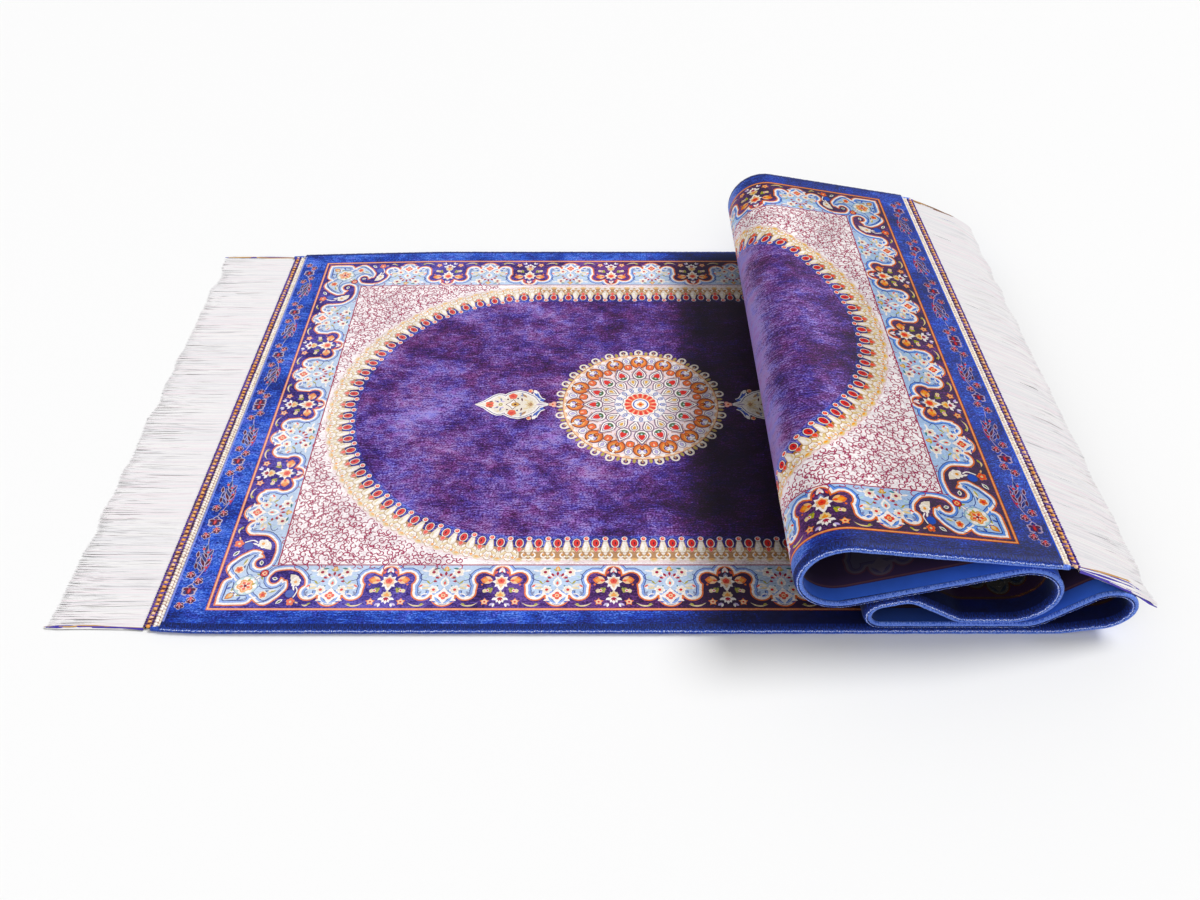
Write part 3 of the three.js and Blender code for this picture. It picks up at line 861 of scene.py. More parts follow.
def on_belt(belt, run, y, height):
    """World points for places on a belt: y is across the rug, height over the middle line. Millimetres."""
    x, z, heading = belt.at(run, np.asarray(y, float) / (2 * HALF_WIDTH) + 0.5)
    points = np.stack(np.broadcast_arrays(x - height * np.sin(heading), y, z + height * np.cos(heading)), -1)
    return points * MM + (LEFT_END, 0, 0)


STRETCH = (BELT.length + LEFT_OVERHANG + RIGHT_OVERHANG) / CLOTH_LENGTH


def run_of(s, t):
    """Where a weft thread lies along the belt. Near the ends the weft runs off square."""
    s, t = np.asarray(s, float), np.asarray(t, float)
    on_flap = np.clip(1 - (CLOTH_LENGTH - s) / FLAP, 0, 1)
    skew = 0.003 + 0.012 * np.clip(1 - s / 60, 0, 1) - 0.0145 * on_flap
    return s * STRETCH - LEFT_OVERHANG + skew * t + 1.5 * on_flap


def on_cloth(s, t, height):
    """World points for pattern places: s from the left end of the cloth, t across it. The pattern lies a
    little nearer to the front edge."""
    run = run_of(s, t)
    share = np.asarray(t, float) / PILE_HALF
    on_flap = np.clip(run / FLAP - 3.1, 0, 1)
    shift = (1 - np.minimum(1, np.abs(share)) ** 16) * (2.4 + (1.6 - 3 * share) * on_flap)
    return on_belt(BELT, run, share * (half_width(run, share) - THICKNESS) - shift, height)


def cloth_normals(s, t):
    _, _, heading = BELT.at(run_of(s, t), np.asarray(t, float) / (2 * HALF_WIDTH) + 0.5)
    return np.stack([-np.sin(heading), np.zeros_like(heading), np.cos(heading)], -1)


# --------------------
# Meshes.
# --------------------
def new_object(name, data):
    made = bpy.data.objects.new(name, data)
    bpy.context.scene.collection.objects.link(made)
    return made


def mesh_object(name, points, faces, materials, slot, kinds=None, normals=None, places=None, tints=None):
    """A piece that rides on the rug. kinds are the numbers of the faces' materials. places are the points'
    cloth coordinates in metres, and tints a colour for each face, both for the materials."""
    mesh = bpy.data.meshes.new(name)
    mesh.from_pydata(np.asarray(points).tolist(), [], [list(face) for face in faces])
    for material in materials:
        mesh.materials.append(material)
    if kinds is not None:
        mesh.polygons.foreach_set("material_index", np.asarray(kinds, np.int32))
    mesh.polygons.foreach_set("use_smooth", np.ones(len(mesh.polygons), bool))
    corner = np.empty(len(mesh.loops), np.int32)
    mesh.loops.foreach_get("vertex_index", corner)
    if places is not None:
        places = np.asarray(places, float)
        low, high = places.min(0), places.max(0)
        for label, values in (("OFBake", (places - low) / (high - low)), ("Cloth", places)):
            layer = mesh.uv_layers.new(name=label)
            layer.uv.foreach_set("vector", values[corner].astype(np.float32).ravel())
    if tints is not None:
        layer = mesh.attributes.new("Tint", "FLOAT_COLOR", "FACE")
        layer.data.foreach_set("color", np.asarray(tints, np.float32).ravel())
    if normals is not None:
        mesh.normals_split_custom_set_from_vertices(np.asarray(normals).tolist())
    piece = new_object(name, mesh)
    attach(piece, "root")
    return piece


def grid_faces(rows, columns, closed=False):
    """Quads over a grid of points, given row by row. A closed grid joins its last column to its first."""
    row, column = np.meshgrid(np.arange(rows - 1), np.arange(columns - (0 if closed else 1)), indexing="ij")
    a = (row * columns + column).ravel()
    b = (row * columns + (column + 1) % columns).ravel()
    return np.stack([a, b, b + columns, a + columns], 1)


def linear(colour):
    """sRGB, as a number such as 0xFF8000, to linear RGBA."""
    values = [((colour >> shift) & 255) / 255 for shift in (16, 8, 0)]
    return [*((c / 12.92 if c <= 0.04045 else ((c + 0.055) / 1.055) ** 2.4) for c in values), 1.0]


# --------------------
# The pile: the pattern's outlines cut the plane into cells, which are laid on the folds.
# --------------------
CELL_GRAIN = 0.0001  # points nearer than this are joined
SLIVER = 0.001  # faces whose middle is this near to the quarter's outline are slivers


def signed_area(outline):
    """Over 0 where the outline runs anticlockwise."""
    ahead = np.roll(outline, -1, 0)
    return (outline[:, 0] * ahead[:, 1] - ahead[:, 0] * outline[:, 1]).sum() / 2


def cells(patches, cuts):
    """Triangles of one quarter, with an edge at each a in cuts, and the topmost colour of each."""
    corners, faces, kept = [], [], []
    quarter = block(None, 0, 0, HALF_LENGTH, PILE_HALF).outline
    for patch in patches:
        outline = patch.outline
        low, high = outline.min(0), outline.max(0)
        if (high < (0.01, 0.01)).any() or (low > (HALF_LENGTH - 0.01, PILE_HALF - 0.01)).any():
            continue
        if signed_area(outline) < 0:
            outline = outline[::-1]
        faces.append(list(range(len(corners), len(corners) + len(outline))))
        corners += outline.tolist()
        kept.append(patch)
    edges = [[len(corners) + k, len(corners) + (k + 1) % 4] for k in range(4)]
    corners += quarter.tolist()
    for a in cuts:
        edges.append([len(corners), len(corners) + 1])
        corners += [[a, -1.0], [a, PILE_HALF + 1]]
    made = delaunay_2d_cdt([Vector(c) for c in corners], edges, faces, 0, CELL_GRAIN, True)
    points = np.array([tuple(v) for v in made[0]])
    triangles = np.array(made[2])
    middle = points[triangles].mean(1)
    inside = ((middle > 0) & (middle < (HALF_LENGTH, PILE_HALF))).all(1)
    colours = []
    for number in np.flatnonzero(inside):
        over = [kept[k] for k in sorted(made[5][number], reverse=True)]
        marks = {patch.mark for patch in over if patch.mark}
        colours.append(next((p.colour for p in over if p.colour and p.cut not in marks), "guard"))
    return merged_cells(points, triangles[inside], np.array(colours), np.sort(cuts))


def merged_cells(points, triangles, colours, cuts):
    """The same cells in fewer triangles: only edges between two colours, or on a cut, stay."""
    names, kind = np.unique(colours, return_inverse=True)
    pairs = np.sort(triangles[:, [0, 1, 1, 2, 2, 0]].reshape(-1, 2), 1)
    pairs, where, uses = np.unique(pairs, axis=0, return_inverse=True, return_counts=True)
    lowest, highest = np.full(len(pairs), len(names)), np.full(len(pairs), -1)
    np.minimum.at(lowest, where.reshape(-1), kind.repeat(3))
    np.maximum.at(highest, where.reshape(-1), kind.repeat(3))
    a = points[pairs][:, :, 0]
    nearest = cuts[np.clip(np.searchsorted(cuts, a[:, 0] - SLIVER), 0, len(cuts) - 1)]
    on_cut = np.abs(a - nearest[:, None]).max(1) < SLIVER
    used, edges = np.unique(pairs[(uses == 1) | (lowest != highest) | on_cut], return_inverse=True)
    corners = [Vector(p) for p in points[used]]
    made = delaunay_2d_cdt(corners, edges.reshape(-1, 2).tolist(), [], 0, CELL_GRAIN, False)
    tree = BVHTree.FromPolygons([(x, y, 0) for x, y in points], triangles.tolist())
    fewer, faces = np.array([tuple(v) for v in made[0]]), np.array(made[2])
    middle = fewer[faces].mean(1)
    inside = ((middle > SLIVER) & (middle < (HALF_LENGTH - SLIVER, PILE_HALF - SLIVER))).all(1)
    found = [tree.find_nearest((x, y, 0))[2] for x, y in middle[inside]]
    return fewer, faces[inside], colours[found].tolist()


STRIP_CUTS = np.array([400.0, 790.0, 1060.0, 1470.0])  # between the pile's pieces, from the left end
LEFT_IN_SIGHT = 690  # distances from the ends of the pile that the folds leave open to view
RIGHT_IN_SIGHT = 470
HIDDEN_SMALL = 60  # square millimetres
EDGE_CUTS = np.array([0.7, 1.5, 2.6])  # distances from the ends of the pile where its rounded edge bends
GROUNDS = {"guard": 1, "field": 2, "halo": 3, "thread": 4, "plum": 5, "wine": 5}


def whole_cloth(patches, small, arc_step, flat_step):
    """The four quarters joined: places (s, t), triangles and colours. Patches under small, in square
    millimetres, are left out, and inside the folds nearly all the flowers are."""
    all_cuts = (np.array(BELT.bends(arc_step, flat_step)) + LEFT_OVERHANG) / STRETCH
    rounded = [KILIM + EDGE_CUTS, CLOTH_LENGTH - KILIM - EDGE_CUTS]
    all_cuts = np.concatenate([all_cuts, STRIP_CUTS, *rounded])
    places, triangles, colours, count = [], [], [], 0
    for left in (True, False):
        cuts = all_cuts - KILIM if left else CLOTH_LENGTH - KILIM - all_cuts
        in_sight = LEFT_IN_SIGHT if left else RIGHT_IN_SIGHT
        chosen = []
        for p in patches:
            least = small if p.outline[:, 0].mean() < in_sight else HIDDEN_SMALL
            if p.mark or abs(signed_area(p.outline)) > least:
                chosen.append(p)
        points, faces, names = cells(chosen, [a for a in cuts if 0.3 < a < HALF_LENGTH - 0.3])
        s = points[:, 0] + KILIM if left else CLOTH_LENGTH - KILIM - points[:, 0]
        for side in (1, -1):
            places.append(np.stack([s, points[:, 1] * side], 1))
            triangles.append((faces if left == (side > 0) else faces[:, ::-1]) + count)
            colours += names
            count += len(points)
    places, triangles = np.concatenate(places), np.concatenate(triangles)
    _, first, joined = np.unique(np.round(places, 2), axis=0, return_index=True, return_inverse=True)
    triangles = joined.reshape(-1)[triangles]
    # Joining points flattens slivers. Those between the same three points lie back to back, and go as well.
    _, kind, uses = np.unique(np.sort(triangles, 1), axis=0, return_inverse=True, return_counts=True)
    whole = (triangles != np.roll(triangles, 1, 1)).all(1) & (uses[kind.reshape(-1)] == 1)
    used, triangles = np.unique(triangles[whole], return_inverse=True)
    return places[first][used], triangles.reshape(-1, 3), np.array(colours)[whole]


def pile_height(s):
    """The pile's face over the middle line, rounded off next to the kilim bands."""
    depth = np.minimum(s - KILIM, CLOTH_LENGTH - KILIM - s)
    return MIDDLE - 1.3 * np.maximum(0, 1 - depth / EDGE_CUTS[-1]) ** 2


def pile(materials):
    places, triangles, colours = whole_cloth(whole_pattern(), 0, 4.5, 40)
    tint_of = {name: linear(value) for name, value in PALETTE.items()}
    tints = np.array([tint_of[name] for name in colours])
    grounds = np.array([GROUNDS.get(name, 0) for name in colours])
    points = on_cloth(places[:, 0], places[:, 1], pile_height(places[:, 0]))
    normals = cloth_normals(places[:, 0], places[:, 1])
    strip = np.searchsorted(STRIP_CUTS, places[triangles].mean(1)[:, 0])
    pieces = []
    for number in range(len(STRIP_CUTS) + 1):
        chosen = strip == number
        used, faces = np.unique(triangles[chosen], return_inverse=True)
        faces = faces.reshape(-1, 3)
        details = dict(kinds=grounds[chosen], tints=tints[chosen])
        details |= dict(normals=normals[used], places=places[used] * MM)
        pieces.append(mesh_object(f"pile_{number + 1}", points[used], faces, materials, "pile", **details))
    return pieces


BACKING_BLUE, BACKING_DULL = 0x2E5ABC, 0x3A2646
SHOW_THROUGH = 0.07  # of the pile's colours
BACKING_WIDER = 3.4  # on each side than the pile


def backing(material):
    """The woven back, where the larger shapes of the pattern show through."""
    places, triangles, colours = whole_cloth(whole_pattern(), 150, 8, 60)
    dull = np.array(linear(BACKING_DULL))
    tint_of = {name: dull + (linear(value) - dull) * SHOW_THROUGH for name, value in PALETTE.items()}
    tint_of["guard"] = linear(BACKING_BLUE)
    places[:, 0] = CLOTH_LENGTH / 2 + (places[:, 0] - CLOTH_LENGTH / 2) * CLOTH_LENGTH / PILE_LENGTH
    places[:, 1] *= 1 + BACKING_WIDER / PILE_HALF
    s, t = places.T
    details = dict(normals=-cloth_normals(s, t), places=places * MM)
    details["tints"] = np.array([tint_of[name] for name in colours])
    points = on_cloth(s, t, -MIDDLE)
    return mesh_object("backing", points, triangles[:, ::-1], [material], "backing", **details)


# --------------------
# Edges: the pile's rounded sides, the overcast bindings, the flat-woven bands and the fringes.
# --------------------
def unit(values):
    return values / np.linalg.norm(values, axis=-1, keepdims=True)


# Across a side of the pile: distances outwards and heights over the middle line.
PILE_SIDE = [(-0.4, 3.74), (2.2, 3.6), (4.3, 3.1), (5.9, 2.2), (6.7, 1.2), (6.8, 0.5), (6.1, -0.2)]
PILE_SIDE += [(4.5, -0.5)]
SIDE_NAMES = {-1: "front", 1: "back"}
END_NAMES = {True: "left", False: "right"}
TUFTS = 6000  # on each side


def pile_side(side, material):
    """The fuzzy long side of the pile, which leans out over the binding."""
    s = np.arange(KILIM, CLOTH_LENGTH - KILIM, 2.0)[:, None]
    run = run_of(s, side * PILE_HALF)
    out, height = np.array(PILE_SIDE).T
    wave = 0.22 * np.sin(run * 1.9 + 3 * np.sin(run * 0.37)) + 0.18 * np.sin(run * 0.83 + 1)
    out = out + wave * np.clip(out / 5, 0, 1)
    points = on_belt(BELT, run, side * (half_width(run, side) - THICKNESS + out), height + 0 * run)
    faces = grid_faces(len(run), len(PILE_SIDE))
    places = np.stack(np.broadcast_arrays(s, height), -1).reshape(-1, 2) * MM
    faces = faces if side < 0 else faces[:, ::-1]
    name = f"pile_side_{SIDE_NAMES[side]}"
    return mesh_object(name, points.reshape(-1, 3), faces, [material], "pile", places=places)


def tufts(side, material, rng):
    """Single tufts of yarn that stand out from a side of the pile."""
    s = np.sort(rng.uniform(KILIM, CLOTH_LENGTH - KILIM, TUFTS))
    run = run_of(s, side * PILE_HALF)
    share = rng.uniform(0.2, 1, TUFTS)
    profile_shares = np.linspace(0, 1, len(PILE_SIDE))
    out0, height0 = (np.interp(share, profile_shares, column) for column in np.array(PILE_SIDE).T)
    lean = math.pi * (0.5 - share) + rng.normal(0, 0.35, TUFTS)
    reach = rng.uniform(0.4, 0.9, TUFTS)
    rows = []
    for tip, along in ((0, -0.2), (0, 0.2), (1, 0)):
        out = out0 - 0.15 + tip * reach * np.cos(lean)
        height = height0 - 0.15 + tip * reach * np.sin(lean)
        drift = along + tip * rng.normal(0, 0.3, TUFTS)
        y = side * (half_width(run, side) - THICKNESS + out)
        rows.append(on_belt(BELT, run + drift, y, height))
    points = np.stack(rows, 1).reshape(-1, 3)
    faces = np.arange(3 * TUFTS).reshape(-1, 3)
    places = np.stack([s, height0], -1).repeat(3, 0) * MM
    return mesh_object(f"tufts_{SIDE_NAMES[side]}", points, faces, [material], "pile", places=places)


WRAP_PITCH = 1.15  # of the yarn that is wound round the binding
WRAP_RINGS = 2  # rings of points for each turn of the yarn
BINDING_SIDES = 7


def binding(side, material):
    """A cord of yarn wound round the side of the backing."""
    count = int(BELT.length / WRAP_PITCH * WRAP_RINGS)
    run = np.linspace(0, BELT.length, count)[:, None]
    angle = np.linspace(0, 2 * math.pi, BINDING_SIDES, endpoint=False)
    wrap = np.cos(2 * math.pi * run / WRAP_PITCH + angle)
    thick = 2.45 + 0.16 * wrap + 0.1 * np.sin(run * 0.21) + 0.06 * np.sin(run * 0.9)
    height = np.maximum(-1.45 + thick * np.sin(angle) * 0.93, -MIDDLE)
    y = side * (half_width(run, side) - 3.1 + thick * np.cos(angle))
    points = on_belt(BELT, run, y, height)
    faces = grid_faces(count, BINDING_SIDES, True)
    faces = faces if side > 0 else faces[:, ::-1]
    ends = [list(range(BINDING_SIDES)), list(range((count - 1) * BINDING_SIDES, count * BINDING_SIDES))]
    faces = [*faces.tolist(), *ends]
    places = np.stack(np.broadcast_arrays(run, angle), -1).reshape(-1, 2) * MM
    name = f"binding_yarn_{SIDE_NAMES[side]}"
    return mesh_object(name, points.reshape(-1, 3), faces, [material], "binding", places=places)


# Stitches of a flat-woven band, from its outer edge inwards: distance from that edge, pitch, start, half
# sizes along the band, across it and in height, slant in degrees, and colours.
STITCHES = [
    (1.2, 2.6, 0.0, 1.2, 1.2, 1.2, 8, ["violet", "plum", "violet"]),
    (4.2, 5.2, 2.6, 0.8, 2.9, 1.1, 30, ["violet", "maroon"]),
    (4.2, 5.2, 0.0, 1.8, 2.0, 1.7, -14, ["marigold", "marigold", "peach", "amber"]),
    (7.3, 2.6, 1.3, 1.2, 1.2, 1.2, -8, ["violet", "plum", "wine"]),
    (10, 3.5, 0.0, 1.6, 1.9, 1.7, 12, ["ivory", "white", "ivory", "cream"]),
    (13.3, 3.5, 1.7, 1.6, 1.9, 1.7, -12, ["ivory", "white", "ivory", "cream"]),
    (15.6, 2.4, 0.4, 1.1, 0.9, 1.5, 0, ["rim"]),
]

KILIM_GROUND = 0xB08C80


def domes(centres, along, across, up, size, slant):
    """Upper parts of ellipsoids, with half sizes along, across and up. Returns points, faces and how many
    faces each has."""
    ring = np.linspace(0, 2 * math.pi, 8)[:-1]
    levels = [(1.0, -0.2), (0.7, 0.72)]
    shape = [[r * math.cos(w), r * math.sin(w), z] for r, z in levels for w in ring] + [[0, 0, 1]]
    local = np.array(shape)[None] * size[:, None, :]
    turn = np.radians(slant)[:, None]
    x = local[..., 0] * np.cos(turn) - local[..., 1] * np.sin(turn)
    y = local[..., 0] * np.sin(turn) + local[..., 1] * np.cos(turn)
    points = centres[:, None] + (
        x[..., None] * along[:, None] + y[..., None] * across[:, None] + local[..., 2:] * up[:, None]
    )
    sides = len(ring)
    quads = grid_faces(len(levels), sides, True).tolist()
    last = (len(levels) - 1) * sides
    cap = [[last + k, last + (k + 1) % sides, last + sides] for k in range(sides)]
    faces = [[v + len(shape) * n for v in face] for n in range(len(centres)) for face in quads + cap]
    return points.reshape(-1, 3), faces, len(quads + cap)


def kilim(at_left, materials, rng):
    """A flat-woven band: its face, its edges and its rows of chain stitches."""
    towards = 1 if at_left else -1
    start = 0 if at_left else CLOTH_LENGTH
    profile = np.array([(0, -MIDDLE), (-0.2, KILIM_TOP - 0.8), (0.3, KILIM_TOP), (KILIM + 1, KILIM_TOP)])
    t = np.linspace(-1, 1, 41)[:, None] * (PILE_HALF + 3.5)
    s = start + towards * profile[:, 0]
    points = on_cloth(s + 0 * t, t + 0 * s, profile[:, 1] + 0 * t).reshape(-1, 3)
    faces = grid_faces(len(t), len(profile))
    every_face = (faces[:, ::-1] if at_left else faces).tolist()
    every_point, count = [points], len(points)
    tints = [linear(KILIM_GROUND)] * len(faces)
    for distance, pitch, first, half_along, half_across, half_up, slant, colours in STITCHES:
        t = np.arange(-PILE_HALF - 3 + first, PILE_HALF + 4, pitch)
        t = t + rng.normal(0, 0.06 * pitch, len(t))
        s = start + towards * (distance + rng.normal(0, 0.12, len(t)))
        centre = on_cloth(s, t, KILIM_TOP)
        up = cloth_normals(s, t)
        across = np.tile([0.0, 1.0, 0.0], (len(t), 1))
        along = np.cross(across, up)
        size = np.array([half_across, half_along, half_up]) * rng.uniform(0.9, 1.08, (len(t), 3)) * MM
        leans = towards * slant + rng.normal(0, 6, len(t))
        made, made_faces, each = domes(centre, along, across, up, size, leans)
        every_point.append(made)
        every_face += [[v + count for v in face] for face in made_faces]
        for pick in rng.integers(0, len(colours), len(t)):
            tints += [linear(PALETTE[colours[pick]])] * each
        count += len(made)
    name = f"kilim_{END_NAMES[at_left]}"
    return mesh_object(name, np.concatenate(every_point), every_face, materials, "kilim", tints=tints)


STRAND_STEPS = 9
STRANDS = 1500
STRAND_RADIUS = 0.39
BUNDLE_RADIUS = 0.75
WIDE_RADIUS = 0.95  # in the bundle at the front right corner
FRINGE_WHITES = [0xE6E4E5, 0xE1E0E2, 0xEAE8E7, 0xDDDBDE, 0xE8DEE2]
BUNDLE_DYES = {"violet": 0x4A3AA6, "white": 0xF2EFEC, "gold": 0xC79A5A, "brown": 0x7A5236}
# The coloured threads at the corners: keys say whether it is a left corner, and its side.
BUNDLES = {
    (True, -1): "violet violet gold",
    (True, 1): "violet gold",
    (False, -1): "violet violet white violet white violet gold",
    (False, 1): "brown gold brown",
}


def slow_noise(rng, waves, longest):
    """A smooth random function of one number, about 1 high."""
    parts = []
    for _ in range(waves):
        parts.append((rng.uniform(0.6, 2.6) / longest, rng.uniform(0, 6.3), rng.uniform(0.4, 1)))
    return lambda x: sum(h * np.sin(2 * math.pi * f * x + p) for f, p, h in parts) / math.sqrt(waves)


def strand_tubes(paths, radius):
    """Three-sided tubes along paths, an array of strands, steps and places."""
    ahead = unit(np.gradient(paths, axis=1))
    side = unit(np.cross(ahead, [0.0, 0.0, 1.0]))
    up = np.cross(side, ahead)
    rings = []
    for k in range(3):
        angle = 2 * math.pi * k / 3 + math.pi / 2
        rings.append(paths + (side * math.cos(angle) + up * math.sin(angle)) * radius[..., None])
    points = np.stack(rings, 2)
    strands, steps = paths.shape[:2]
    quads = grid_faces(steps, 3, True)[:, ::-1]
    faces = (quads[None] + (np.arange(strands) * steps * 3)[:, None, None]).reshape(-1, 4)
    normals = np.stack([(ring - paths) / radius[..., None] for ring in rings], 2)
    return points.reshape(-1, 3), faces, len(quads), normals.reshape(-1, 3)


def bundle(belt, at_left, side, colours, rng):
    """The few thicker, coloured threads at a corner of a fringe."""
    share = np.linspace(0, 1, STRAND_STEPS)[None]
    number = np.arange(len(colours))[:, None]
    half = half_width(0 if at_left else BELT.length, side)
    swing = (1.6 if at_left else 2.2) * np.sin(share * 7 + number * 2.1) * share**0.7
    spread = number * ((0.8 - 0.8 * share) if at_left or side > 0 else (0.9 + 1.1 * np.sin(2.6 * share)))
    y = side * (half - 2.2 - np.abs(swing) - spread)
    y = y + (2.5 * np.sin(share * 2.4) if at_left else 0)
    reach = belt.length + rng.uniform(-2, 5, number.shape) - (8 if at_left else 0)
    run = share * reach + end_shift(at_left, y) * (1 - 0.5 * share)
    height = (-1 if at_left else 1) * (0.7 + 0.5 * np.sin(share * 7 + number * 1.7))
    if not at_left:
        height = height - 3.5 * share**3
    return on_belt(belt, run, y, height), [linear(BUNDLE_DYES[colour]) for colour in colours]


def end_shift(at_left, y):
    """How far along their belt strands start, just inside the cloth's end, where the weft runs off square."""
    edge = run_of(0 if at_left else CLOTH_LENGTH, y)
    return -edge - 0.6 if at_left else edge - BELT.length - 0.9


def fringe(at_left, material, rng):
    """Loose strands that sway together in places, with a ragged end, and the bundles at the corners."""
    belt = Belt(LEFT_FRINGE if at_left else RIGHT_FRINGE)
    up = -1 if at_left else 1
    front, back = half_width(0 if at_left else BELT.length, [-1, 1]) - 3
    y0 = np.linspace(-front, back, STRANDS) + rng.normal(0, 0.15, STRANDS)
    share = np.linspace(0, 1, STRAND_STEPS)[None]
    flow, swirl, edge = slow_noise(rng, 6, 90), slow_noise(rng, 5, 30), slow_noise(rng, 6, 120)
    phase = rng.uniform(0, 6.3, STRANDS)[:, None]
    y = y0[:, None]
    drift = 2.2 * flow(y) + 0.6 * swirl(y + 35 * share) + 0.3 * np.sin(9 * share + phase)
    drift = drift + rng.normal(0, 0.9, (STRANDS, 1)) * share
    lift = rng.uniform(-0.42, 0.32, (STRANDS, 1)) * np.minimum(1, share * 6)
    lift = lift + 0.12 * np.sin(share * 7 + phase * 3)
    shorter, broad, fine = (7, 2.2, 0.5) if at_left else (1, 4.0, 1.3)
    ragged = rng.uniform(-2.2, 0.6, (STRANDS, 1)) + broad * edge(y) + fine * swirl(3 * y)
    run = share * (belt.length - shorter + ragged) + end_shift(at_left, y) * (1 - 0.5 * share)
    paths = on_belt(belt, run, y + drift * share**1.2, up * lift)
    thin = STRAND_RADIUS * rng.uniform(0.8, 1.25, STRANDS)
    # Painted light: the same yarn is made lighter in the left fringe than in the right one.
    whites = np.array([linear(value) for value in FRINGE_WHITES]) * (1.09 if at_left else 1.0)
    tints = whites[rng.integers(0, len(whites), STRANDS)]
    for side in (-1, 1):
        colours = BUNDLES[at_left, side].split()
        extra, dyes = bundle(belt, at_left, side, colours, rng)
        paths, tints = np.concatenate([paths, extra]), np.concatenate([tints, dyes])
        thin = np.append(thin, np.full(len(colours), BUNDLE_RADIUS if at_left or side > 0 else WIDE_RADIUS))
    radius = thin[:, None] * np.ones(STRAND_STEPS) * MM
    radius[:, -1] *= 0.5
    points, faces, each, normals = strand_tubes(paths, radius)
    normals = unit(normals * 0.35 + np.array([0.0, 0.0, 1.0]))
    details = dict(normals=normals, tints=tints.repeat(each, 0))
    return mesh_object(f"strands_{END_NAMES[at_left]}", points, faces, [material], "fringe", **details)


# --------------------
# Materials.
# --------------------
# Painted light along the rug: distances from the left end in metres, and what is added to the pile's light.
# It falls for painted shade beside the fold that stands on the rug, deep inside the folds and over the right
# part of the flap, and climbs for a painted sheen on the flap's crest near 1.6 m.
PAINTED_LIGHT_ALONG = [(0.0, 0.0), (0.1, 0.02), (0.3, 0.02), (0.45, 0.0), (0.485, -0.06), (0.52, -0.22), (0.6, -0.27)]
PAINTED_LIGHT_ALONG += [(0.7, -0.3), (0.78, -0.5), (1.38, -0.5), (1.5, -0.05), (1.57, 0.1), (1.605, 0.26), (1.625, 0.17)]
PAINTED_LIGHT_ALONG += [(1.645, 0.0), (1.69, -0.03), (1.73, -0.1), (1.8, -0.11), (1.859, -0.08)]
# Painted light on the side of the pile, 0.5 being plain, at heights in parts of EDGE_SPAN metres: painted
# shade in the crease over the binding at the bottom, a painted highlight on the outermost bulge where the
# sparkles show, and deep blue above.
EDGE_SPAN = 0.005
EDGE_PAINTED_LIGHT = [(0, 0.1), (0.1, 0.3), (0.18, 0.54), (0.3, 0.6), (0.42, 0.42), (0.6, 0.3), (1, 0.28)]


def add(tree, kind, inputs=None, **settings):
    """A node with these settings, and inputs that are values or other nodes' sockets."""
    node = tree.nodes.new(kind)
    for name, value in settings.items():
        setattr(node, name, value)
    for name, value in (inputs or {}).items():
        if isinstance(value, bpy.types.NodeSocket):
            tree.links.new(value, node.inputs[name])
        else:
            node.inputs[name].default_value = value
    return node


